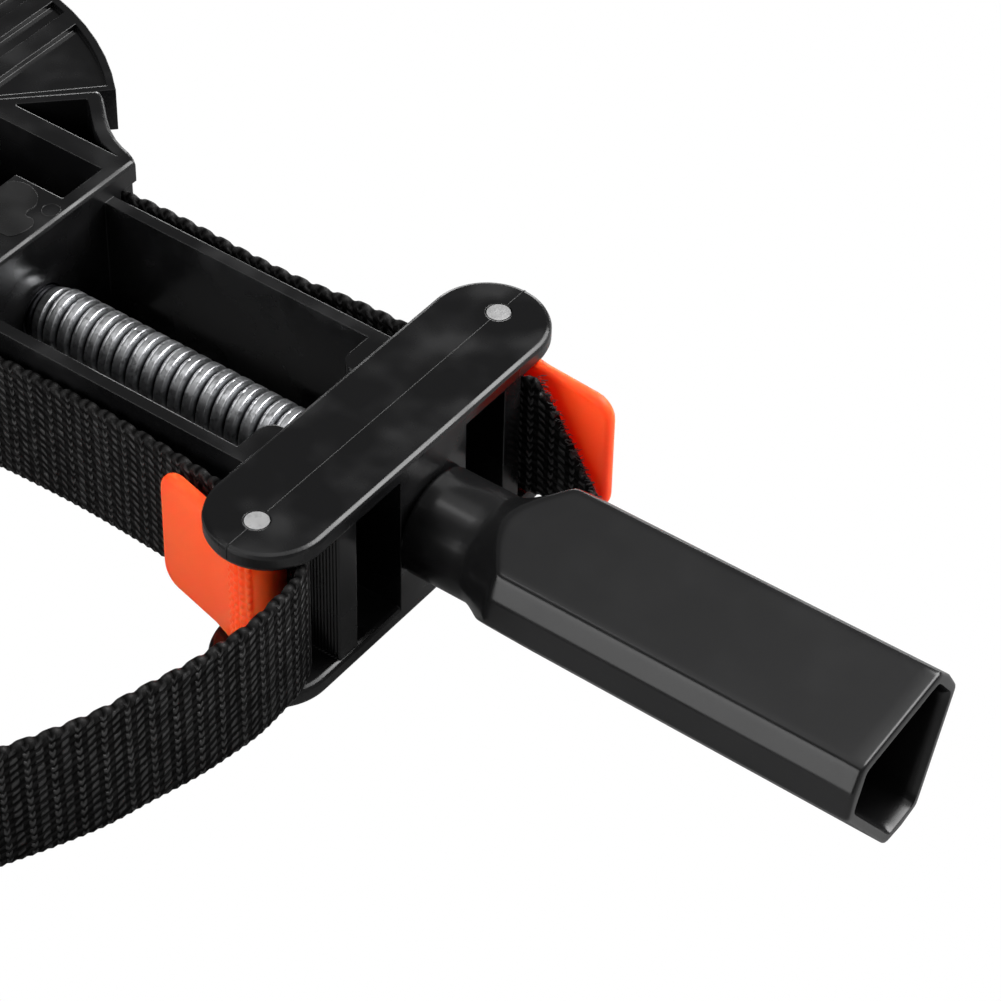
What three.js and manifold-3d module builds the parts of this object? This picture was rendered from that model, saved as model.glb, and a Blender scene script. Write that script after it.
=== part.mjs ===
// A band clamp that a screw tightens. Millimetres, +X along the screw towards the
// handle, +Y along the crossbar, +Z up. The origin is the centre of the crossbar's foot.
// The crossbar carries two cam levers that grip the webbing, and slides on the rails of
// the frame. The screw turns in the crossbar's steel insert and bears on the frame's head,
// where two ribbed fan jaws swivel on a pin.
import * as THREE from "three";
import { mergeVertices } from "three/addons/utils/BufferGeometryUtils.js";
import Module from "manifold-3d";

const wasm = await Module();
wasm.setup();

// ---------------------------------------------------------------- fits and common values
const runningGap = 0.3; // between pieces that move on each other or seat
const pinGap = 0.2; // around a pin in the moulding that holds it
const overrun = 1; // how far a cutter reaches past the face that it opens
const weldDistance = 0.0005;
const leastDetail = 0.02; // shorter edges are merged away in a finished solid
const leastReach = 0.15; // corners that a rounding reaches less far into stay sharp
const arcStep = THREE.MathUtils.degToRad(12);
const fineArcStep = THREE.MathUtils.degToRad(5);
const edgeRound = 0.8;
const bevelSteps = 2;

// ---------------------------------------------------------------- webbing
const bandWidth = 25;
const bandThickness = 1.6;
const bandPlay = 0.35; // beside the webbing in its channel
const bandPlane = 24.9; // its middle plane at the grip posts, from the screw's plane
const bandFootPlay = 0.35; // under the webbing, over the crossbar's foot plate
const bandTopPlay = 1.35; // over the webbing, under the crossbar's top plate
const bandFootAtHead = 1.5;
const bandFootOnFloor = 0;

// ---------------------------------------------------------------- crossbar
const plateThickness = 3.4;
const plateHalfWidth = 10.4;
const plateLength = 76.6;
const pinSpan = 61.8;
const leverPinRadius = 2;
const bossHalfWidth = 8.45;
const bossDepthBehind = 10;
const insertBoreDepth = 14;
const insertRadius = 7.2;
const postFront = 10;
const postBack = 8;
const postTaper = 1.4;
const postSmoothLength = 7;
const serrationPitch = 0.65;
const serrationDepth = 0.3;

// ---------------------------------------------------------------- frame: rails and lips
const railOutside = 18.9;
const railThickness = 2.25;
const railPlay = 0.45; // above and below, to the crossbar's plates
const railEndX = -12.2;
const lipThickness = 3.5;
const lipTipRound = 2.8;
const ledgeWidth = 4.6;
const ledgeThickness = 2.3;

// ---------------------------------------------------------------- frame: head
const headFrontX = -72;
const headDepth = 59.7; // to the jaws' pivot
const headHalfWidth = 35.9;
const flangeThickness = 4.2;
const headFloor = 3;
const frontWall = 3;
const channelMouthDepth = 2.2; // how far back the webbing's channel is open to the side
const noseWall = 2.4;
const blockHalfWidth = 9.7;
const blockDepth = 13.4;
const keelHalfWidth = 5.2;
const channelPlane = 21.9; // the webbing's middle plane in the head
const channelWall = 0.9;
const neckHalfWidth = 12;
const pocketRound = 0.4;
// The outline from the front edge back to the nose, as shares of depth and half width.
const headOutlineShares = [
  [0, 0.691],
  [0.02, 0.716],
  [0.043, 0.733],
  [0.071, 0.746],
  [0.111, 0.772],
  [0.16, 0.82],
  [0.204, 0.878],
  [0.246, 0.942],
  [0.275, 0.985],
  [0.289, 0.998],
  [0.304, 1],
  [0.908, 0],
];
// The outer pocket's curved side, as the same shares.
const wingPocketShares = [
  [0.046, 0.667],
  [0.088, 0.681],
  [0.135, 0.703],
  [0.185, 0.755],
  [0.228, 0.816],
  [0.267, 0.876],
];
const wingTipShare = 0.917;

// ---------------------------------------------------------------- jaws
const jawRadius = 58.2;
const jawEdgeAngle = THREE.MathUtils.degToRad(46.5);
const jawFaceOffset = 6;
const jawFaceThickness = 3;
const jawFaceInner = 8;
const jawFaceOuter = 47;
const jawFoot = 1;
const jawPlateThickness = 1.2;
const jawRibHeight = 1;
const jawRibStart = 2.4;
const jawRibWidth = 3.9;
const jawRibPitch = 7.75;
const jawRibs = 3;
const jawRimThickness = 1.4;
const jawRimDepth = 8.7;
const jawNotchStart = 28;
const jawNotchLength = 14;
const jawPlateStart = 8.4;
const knuckleRadius = 7;
const knuckleWebReach = 24;
const jawPinRadius = 3;

// ---------------------------------------------------------------- screw and its seats
const screwRadius = 6;
const screwTipRadius = 5;
const screwTipChamfer = 1.5;
const screwTipLength = 7;
const screwTailRadius = 5;
const thrustPadRadius = 5;
const thrustPadThickness = 2;
const thrustPadChamfer = 0.4;

// ---------------------------------------------------------------- handle
const neckRadius = 9.4;
const neckLength = 11.8;
const shoulderLength = 11.5;
const gripRadius = 17.5;
const handleLength = 87.8;
const handleWebStart = 11.3;
const handleWebThickness = 6;
const handleLongFace = 11.4; // axis to a wide face, at the open end
const handleShortFace = 15; // axis to a narrow face, at the open end
const handleShortBulge = 0.5; // how far a narrow face swells in its middle
const handleTaperShare = 0.955; // the section at the shoulder against the open end
const handleCornerRound = 0.9;
const handleHollowRound = 2.2;
const handleWall = 2;
const handleEdgeRound = 0.6;
const handleTurn = THREE.MathUtils.degToRad(8);
// The shoulder's flare, as shares of its length and of its growth in radius.
const shoulderShares = [
  [0.13, 0.05],
  [0.3, 0.19],
  [0.48, 0.36],
  [0.65, 0.54],
  [0.83, 0.74],
  [1, 1],
];
const washerRadius = 8.3;
const washerThickness = 1.5;
const nutAcrossFlats = 16;
const nutHeight = 8;
const nutCornerRound = 0.4;
const screwTailProud = 1.5;

// ---------------------------------------------------------------- cam levers
const camRadius = 4.4;
const camToothAngle = THREE.MathUtils.degToRad(80);
const camTeeth = 5;
const paddleLength = 23.1;
const paddleThickness = 2.5;
const paddleRootThickness = 5;
const paddleRootLength = 10;
const leverTopDrop = 2; // how far the lever stays below the crossbar's top plate
const paddleCornerRound = 4;
const lockedAngle = THREE.MathUtils.degToRad(-3.4);
const releaseSwing = THREE.MathUtils.degToRad(196.4);

// ---------------------------------------------------------------- webbing's routes
// Plan points (x, distance to the side) of the runs from the crossbar to the head.
const bandSplitX = -11.6;
const leftRunRoute = [
  [-12, 23.86],
  [-20, 22.95],
  [-30, 22.05],
  [-45, 21.2],
  [-58, 21.2],
  [-66, 21.5],
  [-70, 21.8],
];
const rightRunRoute = [
  [-12, 23.86],
  [-17, 23.75],
  [-24, 23.4],
  [-30, 22.7],
  [-36, 22.2],
  [-46, 22.1],
  [-57, 22.4],
  [-66, 22.3],
  [-70, 22.05],
];
const runEndX = -104.6;
const loopRoute = [
  [-105, 21.9],
  [-108, 23.3],
  [-112, 26.8],
  [-125, 40],
  [-136, 50],
  [-148, 52.5],
  [-161, 44.5],
  [-171, 26],
  [-175, 0],
];
const barRoute = [
  [bandSplitX, 23.82],
  [-8, 24.22],
  [-4, 24.66],
  [0, bandPlane],
];
const rightEndRoute = [
  [5, 25],
  [9.5, 25.5],
  [13.5, 26.3],
  [19, 26.6],
  [26.8, 26.6],
];
const rightEndCut = 15.4;
// Plan points and the drop of the lower edge from its height at the crossbar.
const tailRoute = [
  [2.4, -25.1, 0],
  [5.5, -26.6, 0],
  [8, -29.8, 0],
  [9.4, -33.8, 0.05],
  [9.6, -38, 0.35],
  [9.5, -44, 0.85],
  [8.3, -50.6, 1.35],
  [7.1, -55.5, 1.75],
  [4.2, -63.8, 2.45],
  [1.8, -71, 2.95],
  [-2.3, -79.5, 3.45],
  [-6.2, -87, 3.75],
  [-11.9, -102, 3.75],
  [-13.8, -118, 3.75],
  [-12, -134, 3.75],
  [-6.7, -148, 3.75],
];
const coilCentre = [-91.2, -212.6];
const coilRadius = 106;
const coilPitch = 9.5;
const coilTurns = 8;
const coilSteps = 24;
const coilStartAngle = THREE.MathUtils.degToRad(30);

// ---------------------------------------------------------------- values that follow
const pinY = pinSpan / 2;
const bandFootAtBar = plateThickness + bandFootPlay;
const plateTop = bandFootAtBar + bandWidth + bandTopPlay;
const bodyHeight = plateTop + plateThickness;
const axisHeight = bodyHeight / 2;
const postOuter = bandPlane - bandThickness / 2 - runningGap;
const postInner = railOutside + runningGap;
const railInner = railOutside - railThickness;
const railFoot = plateThickness + railPlay;
const railTop = bodyHeight - railFoot;
const lipTip = bossHalfWidth + runningGap;
const camToothRadius = pinY - bandPlane - bandThickness / 2 - runningGap;
const pivotX = headFrontX - headDepth;
const flangeFoot = bodyHeight - flangeThickness;
const channelInner = channelPlane - bandThickness / 2 - bandPlay;
const channelOuter = channelPlane + bandThickness / 2 + bandPlay;
const pocketOuter = channelInner - channelWall;
const wingInner = channelOuter + channelWall;
const jawTop = flangeFoot - runningGap;
const jawPlateTop = jawTop - jawRibHeight;
const jawPlateFoot = jawPlateTop - jawPlateThickness;
const knuckleFoot = flangeThickness + runningGap;
const knuckleMiddle = (knuckleFoot + jawTop) / 2;
const socketRadius = thrustPadRadius + runningGap;
const screwTipX = headFrontX - screwTipLength;
const thrustPadX = screwTipX - runningGap - thrustPadThickness;
const handleX = plateHalfWidth + runningGap;
const handleWebX = handleX + handleWebStart;
const hollowX = handleWebX + handleWebThickness;
const screwTailX = handleWebX - runningGap;
const washerX = hollowX + runningGap;
const nutX = washerX + washerThickness + runningGap;
const screwEndX = nutX + nutHeight + screwTailProud;
const coilStart = [
  coilCentre[0] + coilRadius * Math.cos(coilStartAngle),
  coilCentre[1] + coilRadius * Math.sin(coilStartAngle),
];

// ---------------------------------------------------------------- solids
// A closed geometry as a solid that faces out.
function solidOf(geometry) {
  const bare = geometry.index ? geometry.toNonIndexed() : geometry.clone();
  for (const name of Object.keys(bare.attributes))
    if (name !== "position") bare.deleteAttribute(name);
  const merged = mergeVertices(bare, weldDistance);
  const kept = [];
  const index = merged.index.array;
  for (let i = 0; i < index.length; i += 3) {
    const [a, b, c] = [index[i], index[i + 1], index[i + 2]];
    if (a !== b && b !== c && c !== a) kept.push(a, b, c);
  }
  const make = (triVerts) =>
    new wasm.Manifold(
      new wasm.Mesh({
        numProp: 3,
        vertProperties: merged.attributes.position.array,
        triVerts: new Uint32Array(triVerts),
      }),
    );
  const made = make(kept);
  return made.volume() < 0 ? make(kept.reverse()) : made;
}

// A solid's surface as a geometry.
function surfaceOf(solid) {
  const mesh = solid.getMesh();
  const geometry = new THREE.BufferGeometry();
  const position = new THREE.BufferAttribute(mesh.vertProperties, mesh.numProp);
  geometry.setAttribute("position", position);
  geometry.setIndex(new THREE.BufferAttribute(mesh.triVerts, 1));
  geometry.computeVertexNormals();
  return geometry;
}

const joined = (...solids) => solids.reduce((all, next) => all.add(next));
const cutBy = (body, ...tools) => tools.reduce((all, next) => all.subtract(next), body);

function extruded(outline, depth, bevel) {
  const shape = new THREE.Shape(outline.map(([x, y]) => new THREE.Vector2(x, y)));
  const geometry = new THREE.ExtrudeGeometry(shape, {
    depth: depth - bevel - bevel,
    bevelEnabled: bevel > 0,
    bevelThickness: bevel,
    bevelSize: bevel,
    bevelOffset: -bevel,
    bevelSegments: bevelSteps,
    curveSegments: 1,
  });
  return geometry.translate(0, 0, bevel);
}

// A plan outline (x, y) standing from one height to another.
function prism(outline, low, high, bevel = 0) {
  return solidOf(extruded(outline, high - low, bevel).translate(0, 0, low));
}

// A side outline (x, z) reaching from one y to another.
function sidePrism(outline, low, high, bevel = 0) {
  const geometry = extruded(outline, high - low, bevel).rotateX(Math.PI / 2);
  return solidOf(geometry.translate(0, high, 0));
}

const box = (x0, x1, y0, y1, z0, z1) =>
  prism([[x0, y0], [x1, y0], [x1, y1], [x0, y1]], z0, z1);

function arc(x, y, radius, from, to, step = arcStep) {
  const steps = Math.max(2, Math.ceil(Math.abs(to - from) / step));
  return Array.from({ length: steps + 1 }, (_, i) => {
    const angle = from + ((to - from) * i) / steps;
    return [x + radius * Math.cos(angle), y + radius * Math.sin(angle)];
  });
}

const circle = (x, y, radius) => arc(x, y, radius, 0, 2 * Math.PI).slice(1);
const upright = (x, y, radius, low, high, bevel = 0) =>
  prism(circle(x, y, radius), low, high, bevel);
const mirrored = (outline) => outline.map(([x, y]) => [x, -y]).reverse();

// A solid turned about the X axis from a profile of (x, radius) pairs.
function turned(profile) {
  const points = profile.map(([x, radius]) => new THREE.Vector2(radius, x));
  return solidOf(new THREE.LatheGeometry(points, 48).rotateZ(-Math.PI / 2));
}

const axle = (x0, x1, radius) => turned([[x0, 0], [x0, radius], [x1, radius], [x1, 0]]);

// An outline whose corners are rounded, each as far as its shorter side lets it.
function rounded(outline, radius, steps = 4) {
  const points = outline.map(([x, y]) => new THREE.Vector2(x, y));
  return points.flatMap((corner, i) => {
    const before = points.at(i - 1).clone().sub(corner);
    const after = points[(i + 1) % points.length].clone().sub(corner);
    const half = Math.abs(before.angleTo(after)) / 2;
    const shortest = Math.min(before.length(), after.length());
    const reach = Math.min(radius / Math.tan(half), shortest * 0.45);
    if (reach < leastReach) return [[corner.x, corner.y]];
    const start = corner.clone().add(before.setLength(reach));
    const end = corner.clone().add(after.setLength(reach));
    const curve = new THREE.QuadraticBezierCurve(start, corner, end);
    return curve.getPoints(steps).map((p) => [p.x, p.y]);
  });
}

function piece(name, solid, material) {
  const clean = solidOf(surfaceOf(solid)).setTolerance(leastDetail);
  const mesh = new THREE.Mesh(surfaceOf(clean), material.clone());
  mesh.name = name;
  return mesh;
}

function placed(x, y, z, turn, ...meshes) {
  const group = new THREE.Group();
  group.position.set(x, y, z);
  group.rotation.z = turn;
  group.add(...meshes);
  return group;
}

// ---------------------------------------------------------------- materials
const plain = (color, roughness, metalness) =>
  new THREE.MeshStandardMaterial({ color, roughness, metalness });
const blackPlastic = plain(0x151515, 0.35, 0);
const leverPlastic = plain(0xf4512c, 0.4, 0);
const zincSteel = plain(0xc4c8cc, 0.3, 1);
const pinSteel = plain(0xd8d8d8, 0.35, 1);
const webbingBlack = plain(0x18181a, 0.9, 0);

// ---------------------------------------------------------------- crossbar
function stadium(halfWidth, length) {
  const centre = length / 2 - halfWidth;
  return [
    ...arc(0, centre, halfWidth, 0, Math.PI, fineArcStep),
    ...arc(0, -centre, halfWidth, Math.PI, 2 * Math.PI, fineArcStep),
  ];
}

// A grip post's outline: its outer side is serrated where the webbing is pinched.
function postOutline() {
  const teethFrom = postSmoothLength - postBack;
  const teeth = Math.floor((postFront - teethFrom) / serrationPitch);
  const outline = [[-postBack, postInner], [postFront, postInner]];
  for (let i = 0; i < teeth; i++) {
    const x = postFront - i * serrationPitch;
    outline.push([x, postOuter - serrationDepth], [x - serrationPitch / 2, postOuter]);
  }
  outline.push([teethFrom, postOuter - serrationDepth]);
  outline.push([-postBack, postOuter - postTaper]);
  return outline;
}

function crossbarSolid() {
  const outline = stadium(plateHalfWidth, plateLength);
  const foot = prism(outline, 0, plateThickness, edgeRound);
  const top = prism(outline, plateTop, bodyHeight, edgeRound);
  const low = plateThickness - edgeRound;
  const high = plateTop + edgeRound;
  const post = prism(postOutline(), low, high);
  const otherPost = prism(mirrored(postOutline()), low, high);
  const boss = box(-bossDepthBehind, plateHalfWidth, -bossHalfWidth, bossHalfWidth, low, high);
  const screwBore = axle(-bossDepthBehind - overrun, handleX, screwRadius + runningGap);
  const insertBore = axle(
    -bossDepthBehind - overrun,
    insertBoreDepth - bossDepthBehind,
    insertRadius + runningGap,
  );
  const holes = [pinY, -pinY].map((y) =>
    upright(0, y, leverPinRadius + pinGap, -overrun, bodyHeight + overrun),
  );
  return cutBy(
    joined(foot, top, post, otherPost, boss),
    screwBore.translate(0, 0, axisHeight),
    insertBore.translate(0, 0, axisHeight),
    ...holes,
  );
}

function insertSolid() {
  const start = -bossDepthBehind + runningGap;
  const end = insertBoreDepth - bossDepthBehind - runningGap;
  const bore = axle(start - overrun, end + overrun, screwRadius + runningGap);
  return cutBy(axle(start, end, insertRadius), bore);
}

// ---------------------------------------------------------------- frame
const headPoint = ([back, out]) => [headFrontX - headDepth * back, headHalfWidth * out];

// The place of the slanted nose wall at a distance y, moved inwards by an inset.
function noseX(y, inset) {
  const [x0, y0] = headPoint(headOutlineShares.at(-2));
  const [x1, y1] = headPoint(headOutlineShares.at(-1));
  const angle = Math.atan2(y0 - y1, x0 - x1);
  return x1 + (y - y1) / Math.tan(angle) + inset / Math.sin(angle);
}

function mainPocket() {
  const front = headFrontX - frontWall;
  const back = headFrontX - blockDepth;
  return [
    [front, pocketOuter],
    [noseX(pocketOuter, noseWall), pocketOuter],
    [noseX(keelHalfWidth, noseWall), keelHalfWidth],
    [back, keelHalfWidth],
    [back, blockHalfWidth],
    [front, blockHalfWidth],
  ];
}

function wingPocket() {
  const tip = headHalfWidth * wingTipShare;
  const side = wingPocketShares.map(headPoint);
  side[0][1] = wingInner;
  return [...side, [noseX(tip, noseWall), tip], [noseX(wingInner, noseWall), wingInner]];
}

function headSolid() {
  const half = headOutlineShares.map(headPoint);
  const outline = [...half, ...mirrored(half).slice(1)];
  const neckSide = [[noseX(neckHalfWidth, noseWall), neckHalfWidth], [pivotX, knuckleRadius]];
  const neck = [...neckSide, ...mirrored(neckSide)];
  const flanges = [[0, flangeThickness], [flangeFoot, bodyHeight]].flatMap(([low, high]) => [
    prism(neck, low, high, edgeRound / 2),
    upright(pivotX, 0, knuckleRadius, low, high, edgeRound / 2),
  ]);
  const seat = knuckleRadius + runningGap;
  const body = cutBy(
    prism(outline, 0, bodyHeight, edgeRound),
    upright(pivotX, 0, seat, flangeThickness, flangeFoot),
  );
  const tools = [];
  for (const side of [(outline) => outline, mirrored]) {
    const pocket = side(rounded(mainPocket(), pocketRound));
    const wing = side(rounded(wingPocket(), pocketRound));
    tools.push(prism(pocket, headFloor, bodyHeight + overrun));
    tools.push(prism(wing, headFloor, bodyHeight + overrun));
    const channel = side([
      [headFrontX + overrun, channelInner],
      [headFrontX + overrun, channelOuter],
      [noseX(channelOuter, 0) - bandWidth, channelOuter],
      [noseX(channelInner, 0) - bandWidth, channelInner],
    ]);
    tools.push(prism(channel, -overrun, flangeFoot));
    const mouthX = headFrontX - channelMouthDepth;
    const mouth = side([
      [headFrontX + overrun, channelOuter - bandPlay],
      [headFrontX + overrun, headHalfWidth],
      [mouthX, headHalfWidth],
      [mouthX, channelOuter - bandPlay],
    ]);
    tools.push(prism(mouth, -overrun, flangeFoot));
  }
  const pin = upright(pivotX, 0, jawPinRadius + pinGap, -overrun, bodyHeight + overrun);
  return cutBy(joined(body, ...flanges), ...tools, pin);
}

function railsSolid() {
  const root = headFrontX - frontWall / 2;
  const lipX = railEndX - lipThickness;
  const rail = box(root, railEndX, railInner, railOutside, railFoot, railTop);
  const lip = [
    ...arc(lipX + lipTipRound, lipTip + lipTipRound, lipTipRound, Math.PI, Math.PI * 1.5),
    [railEndX, lipTip],
    [railEndX, railOutside],
    [lipX, railOutside],
  ];
  const ledgeTop = railFoot + ledgeThickness;
  const inner = railInner - ledgeWidth;
  const ledge = box(root, lipX + lipThickness / 2, inner, railInner + railThickness / 2,
    railFoot, ledgeTop);
  const side = joined(rail, prism(lip, railFoot, railTop), ledge);
  return joined(side, side.mirror([0, 1, 0]));
}

function frameSolid() {
  const socketEnd = thrustPadX - runningGap;
  const socket = axle(socketEnd, headFrontX + overrun, socketRadius);
  return cutBy(joined(headSolid(), railsSolid()), socket.translate(0, 0, axisHeight));
}

// ---------------------------------------------------------------- jaws, about their pivot
// The fan's plan between its edge and its pressing face, from an inner to an outer radius.
function fanOutline(inner, outer) {
  const faceAngle = (radius) => Math.acos(-jawFaceOffset / radius);
  return [
    ...arc(0, 0, outer, jawEdgeAngle, faceAngle(outer), fineArcStep),
    ...arc(0, 0, inner, faceAngle(inner), jawEdgeAngle, fineArcStep),
  ];
}

// One jaw of the +Y side, with its knuckle between two heights.
function jawSolid(knuckleLow, knuckleHigh) {
  const [cos, sin] = [Math.cos(jawEdgeAngle), Math.sin(jawEdgeAngle)];
  const rimInner = jawRadius - jawRimThickness;
  const rimFoot = jawTop - jawRimDepth;
  const plateInner = jawPlateStart + jawFaceThickness / 2;
  const plate = prism(fanOutline(plateInner, jawRadius), jawPlateFoot, jawPlateTop);
  const rim = prism(fanOutline(rimInner, jawRadius), rimFoot, jawTop);
  const whole = prism(fanOutline(plateInner, jawRadius), rimFoot, jawTop);
  const ribs = [];
  for (let n = 0; n < jawRibs; n++) {
    const x = jawRibStart + n * jawRibPitch;
    ribs.push(box(x, x + jawRibWidth, 0, jawRadius, jawPlateTop - jawPlateThickness / 2,
      jawTop + overrun));
  }
  const edgeAt = (r, off) => [r * cos - off * sin, r * sin + off * cos];
  const edgeBox = (from, to, off, low, high) =>
    prism([edgeAt(from, -overrun), edgeAt(to, -overrun), edgeAt(to, off), edgeAt(from, off)],
      low, high);
  const edge = cutBy(
    edgeBox(0, jawRadius + overrun, jawRimThickness, rimFoot - overrun, jawTop + overrun),
    edgeBox(jawNotchStart, jawNotchStart + jawNotchLength, jawRimThickness + overrun,
      rimFoot - overrun - overrun, jawPlateFoot),
  );
  const inside = joined(edge, ...ribs).intersect(whole);
  const faceBack = jawFaceThickness - jawFaceOffset;
  const face = box(-jawFaceOffset, faceBack, jawFaceInner, jawFaceOuter, jawFoot, jawTop);
  const faceTop = box(-jawFaceOffset, faceBack, jawFaceInner, rimInner + jawRimThickness / 2,
    jawPlateFoot, jawTop);
  const web = prism(
    [
      [knuckleRadius * cos, knuckleRadius * sin],
      [faceBack, knuckleWebReach],
      [-jawFaceOffset + jawFaceThickness / 2, knuckleWebReach],
      [-jawFaceOffset + jawFaceThickness / 2, jawFaceInner],
      [-knuckleRadius * cos, knuckleRadius * sin],
      [0, 0],
    ],
    knuckleLow,
    knuckleHigh,
  );
  const knuckle = upright(0, 0, knuckleRadius, knuckleLow, knuckleHigh);
  const bore = upright(0, 0, jawPinRadius + runningGap, 0, bodyHeight);
  return cutBy(
    joined(plate, rim, inside, face, faceTop, web, knuckle),
    bore,
  );
}

// ---------------------------------------------------------------- screw
function screwSolid() {
  const shoulder = headFrontX + runningGap;
  return turned([
    [screwTipX, 0],
    [screwTipX, screwTipRadius - screwTipChamfer / 2],
    [screwTipX + screwTipChamfer / 2, screwTipRadius],
    [shoulder, screwTipRadius],
    [shoulder + screwTipChamfer, screwRadius],
    [screwTailX, screwRadius],
    [screwTailX, screwTailRadius],
    [screwEndX - screwTipChamfer / 2, screwTailRadius],
    [screwEndX, screwTailRadius - screwTipChamfer / 2],
    [screwEndX, 0],
  ]);
}

function thrustPadSolid() {
  const end = thrustPadX + thrustPadThickness;
  return turned([
    [thrustPadX, 0],
    [thrustPadX, thrustPadRadius],
    [end - thrustPadChamfer, thrustPadRadius],
    [end, thrustPadRadius - thrustPadChamfer],
    [end, 0],
  ]);
}

// ---------------------------------------------------------------- handle
// A three-cornered section with its corners cut off: two face distances in turn. The cut
// faces swell in their middle by the bulge.
function gripSection(longFace, shortFace, bulge, round) {
  const sides = 6;
  const distance = (i) => (i % 2 ? shortFace : longFace);
  const turn = (2 * Math.PI) / sides;
  const corners = [];
  for (let i = 0; i < sides; i++) {
    const [a, b] = [distance(i), distance(i + 1)];
    const along = (b - a * Math.cos(turn)) / Math.sin(turn);
    const angle = i * turn;
    if (i % 2 && bulge > 0)
      corners.push([(a + bulge) * Math.cos(angle), (a + bulge) * Math.sin(angle)]);
    corners.push([
      a * Math.cos(angle) - along * Math.sin(angle),
      a * Math.sin(angle) + along * Math.cos(angle),
    ]);
  }
  return rounded(corners, round);
}

// A section drawn out along X, smaller towards the shoulder.
function gripSolid(section, start, end, bevel) {
  const geometry = extruded(section, end - start, bevel);
  const turn = new THREE.Matrix4().makeBasis(
    new THREE.Vector3(0, 1, 0),
    new THREE.Vector3(0, 0, 1),
    new THREE.Vector3(1, 0, 0),
  );
  geometry.applyMatrix4(turn).translate(start, 0, 0);
  const position = geometry.attributes.position;
  const tip = handleX + handleLength;
  for (let i = 0; i < position.count; i++) {
    const share = (tip - position.getX(i)) / handleLength;
    const scale = 1 - (1 - handleTaperShare) * Math.max(0, share);
    position.setY(i, position.getY(i) * scale);
    position.setZ(i, position.getZ(i) * scale);
  }
  return solidOf(geometry);
}

// The handle's round form about its axis, or the space inside it under a wall.
function handleRound(inset) {
  const tip = handleX + handleLength + overrun;
  const growth = gripRadius - neckRadius;
  const flare = shoulderShares.map(([along, out]) => [
    handleX + neckLength + shoulderLength * along,
    neckRadius + growth * out - inset,
  ]);
  return turned([
    [handleX, 0],
    [handleX, neckRadius - inset],
    [handleX + neckLength, neckRadius - inset],
    ...flare,
    [tip, gripRadius - inset],
    [tip, 0],
  ]);
}

function handleSolid() {
  const tip = handleX + handleLength;
  const section = gripSection(
    handleLongFace,
    handleShortFace,
    handleShortBulge,
    handleCornerRound,
  );
  const grip = gripSolid(section, handleX, tip, handleEdgeRound).intersect(handleRound(0));
  const hollowSection = gripSection(
    handleLongFace - handleWall,
    handleShortFace - handleWall,
    0,
    handleHollowRound,
  );
  const hollow = gripSolid(hollowSection, hollowX, tip + overrun, 0);
  const inside = hollow.intersect(handleRound(handleWall));
  const wideBore = axle(handleX - overrun, handleWebX, screwRadius + runningGap);
  const tailBore = axle(handleX, hollowX + overrun, screwTailRadius + runningGap);
  return cutBy(grip, inside, wideBore, tailBore);
}

function washerSolid() {
  const end = washerX + washerThickness;
  const bore = axle(washerX - overrun, end + overrun, screwTailRadius + runningGap);
  return cutBy(axle(washerX, end, washerRadius), bore);
}

function nutSolid() {
  const half = nutAcrossFlats / 2;
  const section = gripSection(half, half, 0, nutCornerRound);
  const geometry = extruded(section, nutHeight, 0);
  const turn = new THREE.Matrix4().makeBasis(
    new THREE.Vector3(0, 1, 0),
    new THREE.Vector3(0, 0, 1),
    new THREE.Vector3(1, 0, 0),
  );
  const body = solidOf(geometry.applyMatrix4(turn).translate(nutX, 0, 0));
  const bore = axle(nutX - overrun, screwEndX, screwTailRadius + runningGap);
  return cutBy(body, bore);
}

// ---------------------------------------------------------------- cam levers
// The lever of the +Y side, about its pin, with its paddle along +X.
function leverSolid() {
  const low = plateThickness + runningGap;
  const high = plateTop - runningGap - leverTopDrop;
  const teeth = [[0, 0]];
  const step = camToothAngle / camTeeth;
  for (let i = 0; i <= camTeeth; i++) {
    const angle = -Math.PI / 2 - camToothAngle / 2 + i * step;
    teeth.push([camToothRadius * Math.cos(angle), camToothRadius * Math.sin(angle)]);
    if (i === camTeeth) break;
    const valley = angle + step / 2;
    teeth.push([camRadius * Math.cos(valley), camRadius * Math.sin(valley)]);
  }
  const [root, half] = [paddleRootThickness / 2, paddleThickness / 2];
  const plan = [
    [0, -root],
    [paddleRootLength / 2, -root * 0.75],
    [paddleRootLength, -half],
    [paddleLength, -half],
    [paddleLength, half],
    [paddleRootLength, half],
    [paddleRootLength / 2, root * 0.75],
    [0, root],
  ];
  const side = rounded(
    [
      [-camRadius - paddleCornerRound - overrun, low],
      [paddleLength, low],
      [paddleLength, high],
      [-camRadius - paddleCornerRound - overrun, high],
    ],
    paddleCornerRound,
    5,
  );
  const paddle = prism(plan, low, high).intersect(sidePrism(side, -camRadius, camRadius));
  const hub = upright(0, 0, camRadius, low, high);
  const bore = upright(0, 0, leverPinRadius + runningGap, 0, bodyHeight);
  return cutBy(joined(hub, prism(teeth, low, high), paddle), bore);
}

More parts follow.
